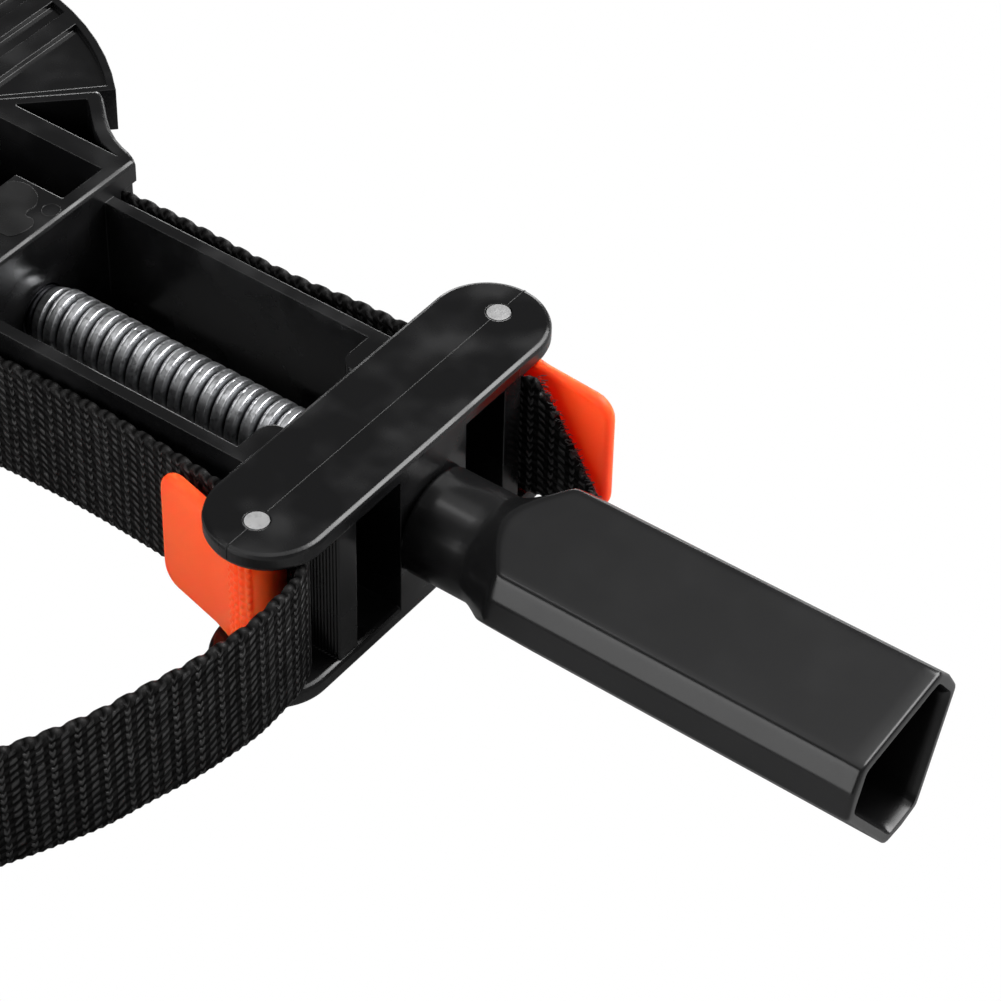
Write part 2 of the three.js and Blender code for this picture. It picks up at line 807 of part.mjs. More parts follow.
// ---------------------------------------------------------------- webbing
// Webbing on edge along plan points (x, y, height of its lower edge).
function bandSolid(route) {
  const vertices = [];
  route.forEach(([x, y, foot], i) => {
    const before = route[Math.max(0, i - 1)];
    const after = route[Math.min(route.length - 1, i + 1)];
    const along = new THREE.Vector2(after[0] - before[0], after[1] - before[1]).normalize();
    const [ox, oy] = [(-along.y * bandThickness) / 2, (along.x * bandThickness) / 2];
    vertices.push(x + ox, y + oy, foot, x - ox, y - oy, foot);
    vertices.push(x - ox, y - oy, foot + bandWidth, x + ox, y + oy, foot + bandWidth);
  });
  const index = [];
  for (let i = 0; i + 1 < route.length; i++)
    for (let k = 0; k < 4; k++) {
      const [a, b] = [i * 4 + k, i * 4 + ((k + 1) % 4)];
      index.push(a, a + 4, b, b, a + 4, b + 4);
    }
  const last = (route.length - 1) * 4;
  index.push(0, 1, 2, 0, 2, 3, last, last + 2, last + 1, last, last + 3, last + 2);
  const geometry = new THREE.BufferGeometry();
  geometry.setAttribute("position", new THREE.Float32BufferAttribute(vertices, 3));
  geometry.setIndex(index);
  return solidOf(geometry);
}

// A smooth route through plan points, with the third value carried along.
function smooth(points, steps) {
  const curve = new THREE.CatmullRomCurve3(
    points.map(([x, y, foot]) => new THREE.Vector3(x, y, foot)),
    false,
    "centripetal",
  );
  return curve.getSpacedPoints(steps).map((p) => [p.x, p.y, p.z]);
}

// The lower edge's height on a run: the left one sinks on its way to the head, the right
// one inside it.
const footAlongRun = (x, side) => {
  const [from, to] = side < 0 ? [bandSplitX, headFrontX] : [headFrontX - channelMouthDepth, runEndX];
  const share = THREE.MathUtils.clamp((from - x) / (from - to), 0, 1);
  return bandFootAtBar + (bandFootAtHead - bandFootAtBar) * share;
};
const flipped = (route, side) => route.map(([x, y, foot]) => [x, y * side, foot]);

function runSolid(side) {
  const plan = side < 0 ? leftRunRoute : rightRunRoute;
  const curved = smooth(plan.map(([x, y]) => [x, y, footAlongRun(x, side)]), 20);
  const straight = [headFrontX, headFrontX - channelMouthDepth, runEndX].map((x) => [
    x,
    channelPlane,
    footAlongRun(x, side),
  ]);
  return bandSolid(flipped([...curved, ...straight], side));
}

function loopSolid() {
  const half = loopRoute.map(([x, y]) => [x, y, bandFootAtHead]);
  const whole = [...half, ...flipped(half, -1).reverse().slice(1)];
  return bandSolid(smooth(whole, 56));
}

function rightEndSolid() {
  const route = [...barRoute, ...rightEndRoute].map(([x, y]) => [x, y, bandFootAtBar]);
  const band = bandSolid(smooth(route, 16));
  const end = rightEndRoute.at(-1)[0];
  const top = bandFootAtBar + bandWidth;
  const cutter = [
    [end + overrun, bandFootAtBar - overrun],
    [end + overrun, top + overrun],
    [end - rightEndCut - overrun, top + overrun],
    [end - rightEndCut, top],
    [end, bandFootAtBar],
  ];
  return cutBy(band, sidePrism(cutter, 0, pinY));
}

function tailSolid() {
  const atBar = barRoute.map(([x, y]) => [x, -y, bandFootAtBar]);
  const end = [...coilStart, bandFootOnFloor];
  const free = tailRoute.map(([x, y, drop]) => [x, y, bandFootAtBar - drop]);
  return bandSolid(smooth([...atBar, ...free, end], 60));
}

// The coil: one spiral that winds inwards by a steady pitch.
function coilSolid() {
  const count = coilTurns * coilSteps;
  const route = [];
  for (let i = 0; i <= count; i++) {
    const turns = i / coilSteps + runningGap / (2 * Math.PI * coilRadius);
    const radius = coilRadius - coilPitch * turns;
    const angle = coilStartAngle - 2 * Math.PI * turns;
    const [x, y] = [coilCentre[0] + radius * Math.cos(angle), coilCentre[1] + radius * Math.sin(angle)];
    route.push([x, y, bandFootOnFloor]);
  }
  let least = Infinity;
  for (let i = 0; i < route.length; i++)
    for (let k = i + coilSteps / 2; k < route.length; k++) {
      const away = Math.hypot(route[i][0] - route[k][0], route[i][1] - route[k][1]);
      least = Math.min(least, away - bandThickness);
    }
  console.log("coil's least gap to itself: " + least.toFixed(2) + " mm");
  return bandSolid(route);
}

// ---------------------------------------------------------------- the assembly
const clamp = new THREE.Group();

const frame = new THREE.Group();
frame.add(piece("main_frame", frameSolid(), blackPlastic));
frame.add(
  placed(
    pivotX,
    0,
    0,
    0,
    piece("jaw_right", jawSolid(knuckleMiddle + runningGap / 2, jawTop), blackPlastic),
    piece(
      "jaw_left",
      jawSolid(knuckleFoot, knuckleMiddle - runningGap / 2).mirror([0, 1, 0]),
      blackPlastic,
    ),
    piece("jaw_pin", upright(0, 0, jawPinRadius, runningGap, bodyHeight), pinSteel),
  ),
);

const spindle = placed(
  0,
  0,
  axisHeight,
  0,
  piece("spindle", screwSolid(), zincSteel),
  piece("thrust_pad", thrustPadSolid(), zincSteel),
  piece("spindle_nut", insertSolid(), zincSteel),
);
const grip = placed(
  0,
  0,
  axisHeight,
  0,
  piece("handle", handleSolid(), blackPlastic),
  piece("handle_washer", washerSolid(), zincSteel),
  piece("handle_nut", nutSolid(), zincSteel),
);
grip.rotation.x = handleTurn + Math.PI / 2;

const crossbar = new THREE.Group();
crossbar.add(piece("crossbar", crossbarSolid(), blackPlastic));
const lever = leverSolid();
const pin = upright(0, 0, leverPinRadius, runningGap, bodyHeight);
crossbar.add(
  placed(0, pinY, 0, 0, piece("lever_pin_right", pin, pinSteel)),
  placed(0, -pinY, 0, 0, piece("lever_pin_left", pin, pinSteel)),
  placed(0, pinY, 0, lockedAngle, piece("lever_right", lever, leverPlastic)),
  placed(0, -pinY, 0, -lockedAngle - releaseSwing,
    piece("lever_left", lever.mirror([0, 1, 0]), leverPlastic)),
);

const webbing = new THREE.Group();
webbing.add(piece("strap_run_right", runSolid(1), webbingBlack));
webbing.add(piece("strap_run_left", runSolid(-1), webbingBlack));
webbing.add(piece("strap_loop", loopSolid(), webbingBlack));
webbing.add(piece("strap_end_right", rightEndSolid(), webbingBlack));
webbing.add(piece("strap_tail_left", tailSolid(), webbingBlack));
webbing.add(piece("strap_coil", coilSolid(), webbingBlack));

clamp.add(frame, spindle, grip, crossbar, webbing);

export default clamp;
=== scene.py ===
"""Band clamp on a white studio floor: webbing, screw thread, mould lines, finishes, lamps and camera."""

import logging
import math
import random
from collections.abc import Callable
from dataclasses import dataclass
from enum import Enum

import bmesh
import bpy
from mathutils import Matrix, Vector

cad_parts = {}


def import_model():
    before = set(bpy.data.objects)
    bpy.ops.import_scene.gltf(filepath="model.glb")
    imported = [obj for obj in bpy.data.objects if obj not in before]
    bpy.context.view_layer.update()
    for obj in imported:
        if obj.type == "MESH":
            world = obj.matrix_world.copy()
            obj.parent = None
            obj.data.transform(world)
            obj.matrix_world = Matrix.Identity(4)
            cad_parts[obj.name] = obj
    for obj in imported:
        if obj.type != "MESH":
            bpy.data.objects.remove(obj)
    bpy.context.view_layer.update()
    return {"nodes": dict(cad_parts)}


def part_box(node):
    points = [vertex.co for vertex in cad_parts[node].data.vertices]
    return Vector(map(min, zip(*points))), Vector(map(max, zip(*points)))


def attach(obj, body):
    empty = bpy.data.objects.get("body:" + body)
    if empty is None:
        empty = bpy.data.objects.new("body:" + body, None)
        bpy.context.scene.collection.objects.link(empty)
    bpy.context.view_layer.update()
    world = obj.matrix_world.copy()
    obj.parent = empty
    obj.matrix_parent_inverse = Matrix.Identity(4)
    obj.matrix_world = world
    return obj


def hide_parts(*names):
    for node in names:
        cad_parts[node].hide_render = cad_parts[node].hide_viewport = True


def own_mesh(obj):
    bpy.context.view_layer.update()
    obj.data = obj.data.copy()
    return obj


log = logging.getLogger("band_clamp")

MM = 0.001
TURN = 2 * math.pi
CURVE_STEPS = 24
ALL_SMOOTH = 180
AXIS_HEIGHT = 16.75 * MM
PIN_Y = 30.9 * MM
LOCKED = math.radians(-3.4)
LEVER_SWING = math.radians(196.4)
BAND_WIDTH = 25 * MM
COLUMN_PAIR = 4.1 * MM
STITCH_ROW = 1.64 * MM

Piece = bpy.types.Object
Material = bpy.types.Material
Node = bpy.types.Node
NodeTree = bpy.types.NodeTree
Socket = bpy.types.NodeSocket
Colour = tuple[float, float, float]
Limits = tuple[float, float]
Faces = list[tuple[int, ...]]
Points = list[Vector]


class Side(Enum):
    """The two sides of the clamp, seen from the handle's end."""

    LEFT = -1
    RIGHT = 1


# ---- shader nodes


class NodeSheet:
    """Adds, sets and links the shader nodes of one tree."""

    def __init__(self, tree: NodeTree) -> None:
        """Keeps the tree that the nodes go into."""
        self.tree = tree

    def add(self, kind: str, inputs: dict | None = None, **values: object) -> Node:
        """Adds a node.

        Args:
            kind: the node's type without the ShaderNode prefix.
            inputs: what goes into its inputs, by their names or places.
            **values: the node's attributes, which are set first.

        Returns:
            The new node.
        """
        node = self.tree.nodes.new("ShaderNode" + kind)
        for name, value in values.items():
            setattr(node, name, value)
        self.feed(node, inputs or {})
        return node

    def feed(self, node: Node, inputs: dict) -> None:
        """Sets or links a node's inputs.

        Args:
            node: the node.
            inputs: numbers, colours or output sockets, by the inputs' names or places.
        """
        for key, value in inputs.items():
            if isinstance(value, Socket):
                self.tree.links.new(value, node.inputs[key])
            else:
                node.inputs[key].default_value = value

    def math(self, operation: str, *inputs: float | Socket) -> Socket:
        """Does one operation on numbers or sockets."""
        return self.add("Math", dict(enumerate(inputs)), operation=operation).outputs[0]

    def noise(self, scale: float, detail: float, coords: Socket) -> Socket:
        """Gives noise with its scale in 1/m and its detail in octaves."""
        return self.add("TexNoise", {"Scale": scale, "Detail": detail, "Vector": coords}).outputs[0]

    def spread(self, value: Socket, limits: Limits, result: Limits = (0, 1)) -> Socket:
        """Maps a value from one pair of limits to another, clamped."""
        ends = {"From Min": limits[0], "From Max": limits[1], "To Min": result[0], "To Max": result[1]}
        return self.add("MapRange", {"Value": value, **ends}).outputs[0]

    def blend(self, share: Socket, first: Colour, second: Colour) -> Socket:
        """Mixes two colours by a share from 0 to 1."""
        return self.add("Mix", {0: share, 6: (*first, 1), 7: (*second, 1)}, data_type="RGBA").outputs[2]

    def bump(self, height: Socket, distance: float, strength: float = 1.0, **normal: Socket) -> Socket:
        """Raises the surface by a height, over the given Normal if there is one."""
        inputs = {"Height": height, "Distance": distance, "Strength": strength, **normal}
        return self.add("Bump", inputs).outputs[0]

    def finish(self, share: Socket, first: Socket, second: Socket, output: str) -> None:
        """Mixes two shaders by a share from 0 to 1 and ends the tree with the named output node."""
        self.add(output, {0: self.add("MixShader", {0: share, 1: first, 2: second}).outputs[0]})


def new_group(name: str, inputs: tuple, outputs: tuple) -> tuple[NodeSheet, Node, Node]:
    """Makes an empty shader node group whose inputs and outputs are numbers.

    Args:
        name: the group's name.
        inputs: its inputs' names.
        outputs: its outputs' names.

    Returns:
        The group's node sheet, its input node and its output node.
    """
    tree = bpy.data.node_groups.new(name, "ShaderNodeTree")
    for way, names in (("INPUT", inputs), ("OUTPUT", outputs)):
        for key in names:
            tree.interface.new_socket(key, in_out=way, socket_type="NodeSocketFloat")
    return NodeSheet(tree), tree.nodes.new("NodeGroupInput"), tree.nodes.new("NodeGroupOutput")


def new_material(name: str) -> tuple[Material, NodeSheet, Node]:
    """Makes a material.

    Args:
        name: the material's name.

    Returns:
        The material, its node sheet and its main shader.
    """
    material = bpy.data.materials.new(name)
    material.use_nodes = True
    return material, NodeSheet(material.node_tree), material.node_tree.nodes["Principled BSDF"]


@dataclass(frozen=True)
class MouldSkin:
    """The skin of a moulded part: soft sink marks, a fine grain and a few rubbed patches."""

    patch_scale: float = 85
    patch_limits: Limits = (0.44, 0.68)
    sink_scale: float = 34
    sink_height: float = 0.6
    grain_scale: float = 2600
    grain_roughness: float = 0.05

    def group(self) -> NodeTree:
        """Builds the skin's node group.

        Returns:
            The node group.
        """
        names = ("Roughness", "Patches", "Grain")
        sheet, given, out = new_group("mould_skin", names, ("Roughness", "Height", "Patch"))
        coords = sheet.add("TexCoord").outputs["Object"]
        patch = sheet.spread(sheet.noise(self.patch_scale, 2, coords), self.patch_limits)
        sink = sheet.math("MULTIPLY", sheet.noise(self.sink_scale, 1, coords), self.sink_height)
        grain = sheet.noise(self.grain_scale, 2, coords)
        rough = sheet.math("MULTIPLY_ADD", patch, given.outputs["Patches"], given.outputs["Roughness"])
        sheet.feed(out, {
            "Roughness": sheet.math("MULTIPLY_ADD", grain, self.grain_roughness, rough),
            "Height": sheet.math("ADD", sink, sheet.math("MULTIPLY", grain, given.outputs["Grain"])),
            "Patch": patch,
        })
        return sheet.tree


@dataclass(frozen=True)
class Weave:
    """The webbing's weave, on a UV map that is in metres along and across the band.

    A pair of columns repeats along the band: a narrow one of small chevron stitches and a
    wider one of slanted stitches, with dim stitches between them, and bumps along both
    selvedges. Each edge says where a mask fades, each bump which part of a stitch's swell shows.
    """

    slant: float = 1.4
    chevron: float = 2.5
    gap_slant: float = 1.2
    drift_scales: Limits = (310, 520)
    drift: Limits = (0.12, 0.7)
    narrow_edge: Limits = (0.055, 0.115)
    narrow_bite: float = 0.05
    narrow_bump: Limits = (0.3, 0.95)
    wide_edge: Limits = (0.12, 0.2)
    wide_bump: Limits = (0.42, 0.98)
    gap_bump: Limits = (0.4, 0.95)
    gap_level: Limits = (0.05, 0.25)
    lower_edge: Limits = (0.2 * MM, 1.2 * MM)
    upper_edge: Limits = (0.4 * MM, 1.7 * MM)
    selvedge: float = 0.4
    shade_limits: Limits = (-0.2, 0.2)
    shade: Limits = (0.6, 1)

    def group(self) -> NodeTree:
        """Builds the weave's node group, which gives its height and how much of the yarn shows.

        Returns:
            The node group.
        """
        sheet, _, out = new_group("weave", (), ("Height", "Yarn"))
        place = sheet.add("UVMap").outputs[0]
        x, y, _ = sheet.add("SeparateXYZ", {0: place}).outputs

        def half_off(value: Socket) -> Socket:
            """Takes a half off."""
            return sheet.math("SUBTRACT", value, 0.5)

        def bumps(phase: Socket) -> Socket:
            """Gives one round bump for each whole step of a phase."""
            return sheet.math("ABSOLUTE", sheet.math("SINE", sheet.math("MULTIPLY", phase, math.pi)))

        uneven, wander = (half_off(sheet.noise(scale, 1, place)) for scale in self.drift_scales)
        along = sheet.math("MULTIPLY_ADD", uneven, self.drift[0], sheet.math("DIVIDE", x, COLUMN_PAIR))
        across = sheet.math("MULTIPLY_ADD", wander, self.drift[1], sheet.math("DIVIDE", y, STITCH_ROW))
        chevron = sheet.math("ABSOLUTE", half_off(sheet.math("FRACT", along)))
        small = bumps(sheet.math("SUBTRACT", across, sheet.math("MULTIPLY", chevron, self.chevron)))
        bitten = sheet.math("MULTIPLY_ADD", small, -self.narrow_bite, chevron)
        narrow = sheet.math("MULTIPLY", sheet.spread(bitten, self.narrow_edge, (1, 0)),
                            sheet.spread(small, self.narrow_bump))
        wide = half_off(sheet.math("FRACT", sheet.math("ADD", along, 0.5)))
        slanted = bumps(sheet.math("MULTIPLY_ADD", wide, self.slant, across))
        broad = sheet.math("MULTIPLY", sheet.spread(sheet.math("ABSOLUTE", wide), self.wide_edge, (1, 0)),
                           sheet.spread(slanted, self.wide_bump))
        between = bumps(sheet.math("MULTIPLY_ADD", along, self.gap_slant, across))
        gap = sheet.spread(between, self.gap_bump, self.gap_level)
        stitches = sheet.math("MAXIMUM", sheet.math("MAXIMUM", narrow, broad), gap)
        above = sheet.spread(sheet.math("SUBTRACT", BAND_WIDTH, y), self.upper_edge)
        inside = sheet.math("MULTIPLY", sheet.spread(y, self.lower_edge), above)
        selvedge = sheet.math("MULTIPLY", bumps(sheet.math("MULTIPLY", along, 2.0)), self.selvedge)
        edged = sheet.math("MULTIPLY", sheet.math("SUBTRACT", 1.0, inside), selvedge)
        height = sheet.math("MULTIPLY_ADD", stitches, inside, edged)
        yarn = sheet.math("MULTIPLY", height, sheet.spread(uneven, self.shade_limits, self.shade))
        sheet.feed(out, {"Height": height, "Yarn": yarn})
        return sheet.tree


# ---- finishes


@dataclass(frozen=True)
class MouldedPlastic:
    """A glossy injection-moulded plastic."""

    name: str
    colour: Colour
    rubbed: Colour
    roughness: float
    patches: float = 0.12
    relief: float = 0.06 * MM
    grain: float = 0.05
    edge_round: float = 0.3 * MM
    gloss: float = 0.5
    bleed: float = 0.0
    bleed_colour: Colour = (1.0, 0.04, 0.015)
    bleed_reach: float = 3.5 * MM
    relief_strength: float = 0.6

    def make(self, skin: NodeTree) -> Material:
        """Builds the material.

        Args:
            skin: the shared mould skin group.

        Returns:
            The material.
        """
        material, sheet, shader = new_material(self.name)
        given = {"Roughness": self.roughness, "Patches": self.patches, "Grain": self.grain}
        group = sheet.add("Group", given, node_tree=skin)
        soft_edge = sheet.add("Bevel", {"Radius": self.edge_round}, samples=6).outputs[0]
        height = group.outputs["Height"]
        sheet.feed(shader, {
            "Base Color": sheet.blend(group.outputs["Patch"], self.colour, self.rubbed),
            "Roughness": group.outputs["Roughness"],
            "Specular IOR Level": self.gloss,
            "Subsurface Weight": self.bleed,
            "Subsurface Radius": self.bleed_colour,
            "Subsurface Scale": self.bleed_reach,
            "Normal": sheet.bump(height, self.relief, self.relief_strength, Normal=soft_edge),
        })
        return material


@dataclass(frozen=True)
class PlatedSteel:
    """Bright plated or ground steel with flecks, and painted shade in the thread's grooves inside two radii
    if given.
    """

    name: str
    colour: Colour
    stain_and_shade: Colour
    roughness: float
    shade_radii: Limits | None = None
    wear: float = 0.35
    cloud_scale: float = 260
    cloud_blur: float = 0.22
    fleck_scale: float = 900
    fleck_limits: Limits = (0.5, 0.72)
    fleck_depth: float = 0.03 * MM

    def make(self) -> Material:
        """Builds the material.

        Returns:
            The material.
        """
        material, sheet, shader = new_material(self.name)
        coords = sheet.add("TexCoord").outputs["Object"]
        cloud = sheet.noise(self.cloud_scale, 3, coords)
        fleck = sheet.spread(sheet.noise(self.fleck_scale, 2, coords), self.fleck_limits)
        stain_and_shade_mask = sheet.math("MULTIPLY", cloud, fleck)
        # Painted shade: inside the given radii the stain colour fills the thread's grooves, where shade
        # falls.
        if self.shade_radii:
            _, y, z = sheet.add("SeparateXYZ", {0: coords}).outputs
            up = sheet.math("SUBTRACT", z, AXIS_HEIGHT)
            reach = sheet.math("SQRT", sheet.math("MULTIPLY_ADD", up, up, sheet.math("POWER", y, 2.0)))
            stain_and_shade_mask = sheet.math("MAXIMUM", stain_and_shade_mask, sheet.spread(reach, self.shade_radii, (1, 0)))
        sheet.feed(shader, {
            "Metallic": 1.0,
            "Base Color": sheet.blend(stain_and_shade_mask, self.colour, self.stain_and_shade),
            "Roughness": sheet.math("MULTIPLY_ADD", cloud, self.cloud_blur, self.roughness),
            "Normal": sheet.bump(fleck, self.fleck_depth, self.wear),
        })
        return material


@dataclass(frozen=True)
class WovenWebbing:
    """Black polyester webbing with its weave in relief, and painted shade in the weave's pits."""

    name: str
    pit_shade: Colour
    yarn: Colour
    relief: float
    gloss_limits: Limits = (0.15, 0.85)
    gloss: Limits = (0.03, 0.62)
    fibre_scale: float = 3800
    fibre_limits: Limits = (0.3, 0.7)
    fibre_shade: Limits = (0.55, 1)
    fibre_height: float = 0.12
    roughness: float = 0.5

    def make(self, weave: NodeTree) -> Material:
        """Builds the material.

        Args:
            weave: the shared weave group.

        Returns:
            The material.
        """
        material, sheet, shader = new_material(self.name)
        height, yarn = sheet.add("Group", node_tree=weave).outputs
        fibre = sheet.noise(self.fibre_scale, 3, sheet.add("TexCoord").outputs["Object"])
        shown = sheet.math("MULTIPLY", yarn, sheet.spread(fibre, self.fibre_limits, self.fibre_shade))
        raised = sheet.math("MULTIPLY_ADD", fibre, self.fibre_height, height)
        sheet.feed(shader, {
            # The pit colour is painted shade: the base colour darkens to it where the weave's yarn sinks
            # away.
            "Base Color": sheet.blend(shown, self.pit_shade, self.yarn),
            "Roughness": self.roughness,
            "Specular IOR Level": sheet.spread(yarn, self.gloss_limits, self.gloss),
            "Normal": sheet.bump(raised, self.relief),
        })
        return material


class Finishes:
    """All materials of the clamp, built once."""

    def __init__(self) -> None:
        """Builds the shared groups and the materials."""
        skin, weave = MouldSkin().group(), Weave().group()
        self.black = MouldedPlastic(
            "black_moulding", (0.0032, 0.0032, 0.0034), (0.0055, 0.0055, 0.0058), 0.13, 0.25).make(skin)
        self.grip = MouldedPlastic(
            "grip_moulding", (0.006, 0.006, 0.0062), (0.0075, 0.0075, 0.0077), 0.18, 0.03,
            0.02 * MM).make(skin)
        self.mark = MouldedPlastic(
            "moulding_mark", (0.006, 0.006, 0.0061), (0.01, 0.01, 0.0101), 0.2, 0.2,
            edge_round=0.1 * MM).make(skin)
        self.orange = MouldedPlastic(
            "lever_moulding", (1.0, 0.097, 0.02), (1.0, 0.11, 0.026), 0.33, 0.06,
            edge_round=0.1 * MM, gloss=0.28, bleed=1.0).make(skin)
        self.zinc = PlatedSteel("zinc_plate", (0.6, 0.61, 0.63), (0.12, 0.12, 0.13), 0.25).make()
        # The thread's dark stain colour also serves as painted shade in its grooves.
        self.thread = PlatedSteel("zinc_thread", (0.8, 0.81, 0.83), (0.05, 0.05, 0.055), 0.24,
                                  (5.0 * MM, 5.5 * MM), 0.9).make()
        self.pin = PlatedSteel("pin_steel", (0.72, 0.72, 0.72), (0.5, 0.5, 0.5), 0.32).make()
        self.webbing = WovenWebbing(
            "black_webbing", (0.0014, 0.0013, 0.0013), (0.042, 0.041, 0.041), 0.8 * MM).make(weave)
        self.fray = WovenWebbing("frayed_yarn", (0.09, 0.09, 0.09), (0.4, 0.4, 0.39), 0.1 * MM).make(weave)


# ---- mesh helpers


def mesh_object(name: str, vertices: Points, faces: Faces, material: Material, crease: float = 0) -> Piece:
    """Makes a mesh object.

    Args:
        name: the piece's name.
        vertices: its points in metres.
        faces: its faces as indices.
        material: its material.
        crease: the angle in degrees from which an edge stays sharp; 0 leaves every face flat.

    Returns:
        The new object, linked to the scene.
    """
    mesh = bpy.data.meshes.new(name)
    mesh.from_pydata([tuple(v) for v in vertices], [], faces)
    shell = bmesh.new()
    shell.from_mesh(mesh)
    bmesh.ops.recalc_face_normals(shell, faces=shell.faces)
    shell.to_mesh(mesh)
    shell.free()
    mesh.materials.append(material)
    if crease:
        mesh.shade_smooth()
        mesh.set_sharp_from_angle(angle=math.radians(crease))
    else:
        mesh.shade_flat()
    piece = bpy.data.objects.new(name, mesh)
    bpy.context.scene.collection.objects.link(piece)
    return piece


def ring_faces(count: int, size: int, closed: bool) -> Faces:
    """Joins rings of points into a closed skin.

    Args:
        count: how many rings there are.
        size: how many points each has.
        closed: whether the last ring joins the first; if not, both are capped.

    Returns:
        The faces.
    """
    faces = []
    for i in range(count if closed else count - 1):
        for k in range(size):
            a, b = i * size, (i + 1) % count * size
            faces.append((a + k, a + (k + 1) % size, b + (k + 1) % size, b + k))
    if not closed:
        faces += [tuple(range(size)), tuple(range((count - 1) * size, count * size))]
    return faces


def steps(start: float, end: float, count: int) -> list[float]:
    """Cuts the way from start to end into count equal steps."""
    return [start + (end - start) * i / count for i in range(count + 1)]


def about_axis(x: float, radius: float, angle: float) -> Vector:
    """Gives the point at a radius and an angle about the screw's axis."""
    return Vector((x, radius * math.cos(angle), AXIS_HEIGHT + radius * math.sin(angle)))


# ---- webbing


def catmull_rom(points: list[tuple[float, ...]], step: float) -> Points:
    """Runs a smooth centripetal curve through points.

    Args:
        points: the points that it passes, in metres.
        step: the distance between the points that come out.

    Returns:
        Points along the curve at even distances.
    """
    given = [Vector(p) for p in points]
    ends = [given[0] * 2 - given[1], *given, given[-1] * 2 - given[-2]]
    dense: Points = []
    for a, b, c, d in zip(ends, ends[1:], ends[2:], ends[3:]):
        d0, d1, d2 = (max((q - p).length, 1e-9) ** 0.5 for p, q in ((a, b), (b, c), (c, d)))
        t1 = ((b - a) / d0 - (c - a) / (d0 + d1) + (c - b) / d1) * d1
        t2 = ((c - b) / d1 - (d - b) / (d1 + d2) + (d - c) / d2) * d1
        for t in steps(0, 1, CURVE_STEPS)[:-1]:
            dense.append(b + t1 * t + (c * 3 - b * 3 - t1 * 2 - t2) * t * t
                         + (b * 2 - c * 2 + t1 + t2) * t ** 3)
    dense.append(given[-1])
    return even(dense, step)


def even(points: Points, step: float) -> Points:
    """Spaces points evenly along a polyline.

    Args:
        points: the polyline's points.
        step: about how far apart the new ones are.

    Returns:
        The new points, from the first end to the last.
    """
    lengths = [(q - p).length for p, q in zip(points, points[1:])]
    total = sum(lengths)
    count = max(2, round(total / step))
    result, i, walked = [], 0, 0.0
    for n in range(count + 1):
        target = min(total * n / count, total)
        while i < len(lengths) - 1 and walked + lengths[i] < target:
            walked += lengths[i]
            i += 1
        share = 0 if lengths[i] == 0 else min(1, (target - walked) / lengths[i])
        result.append(points[i].lerp(points[i + 1], share))
    return result


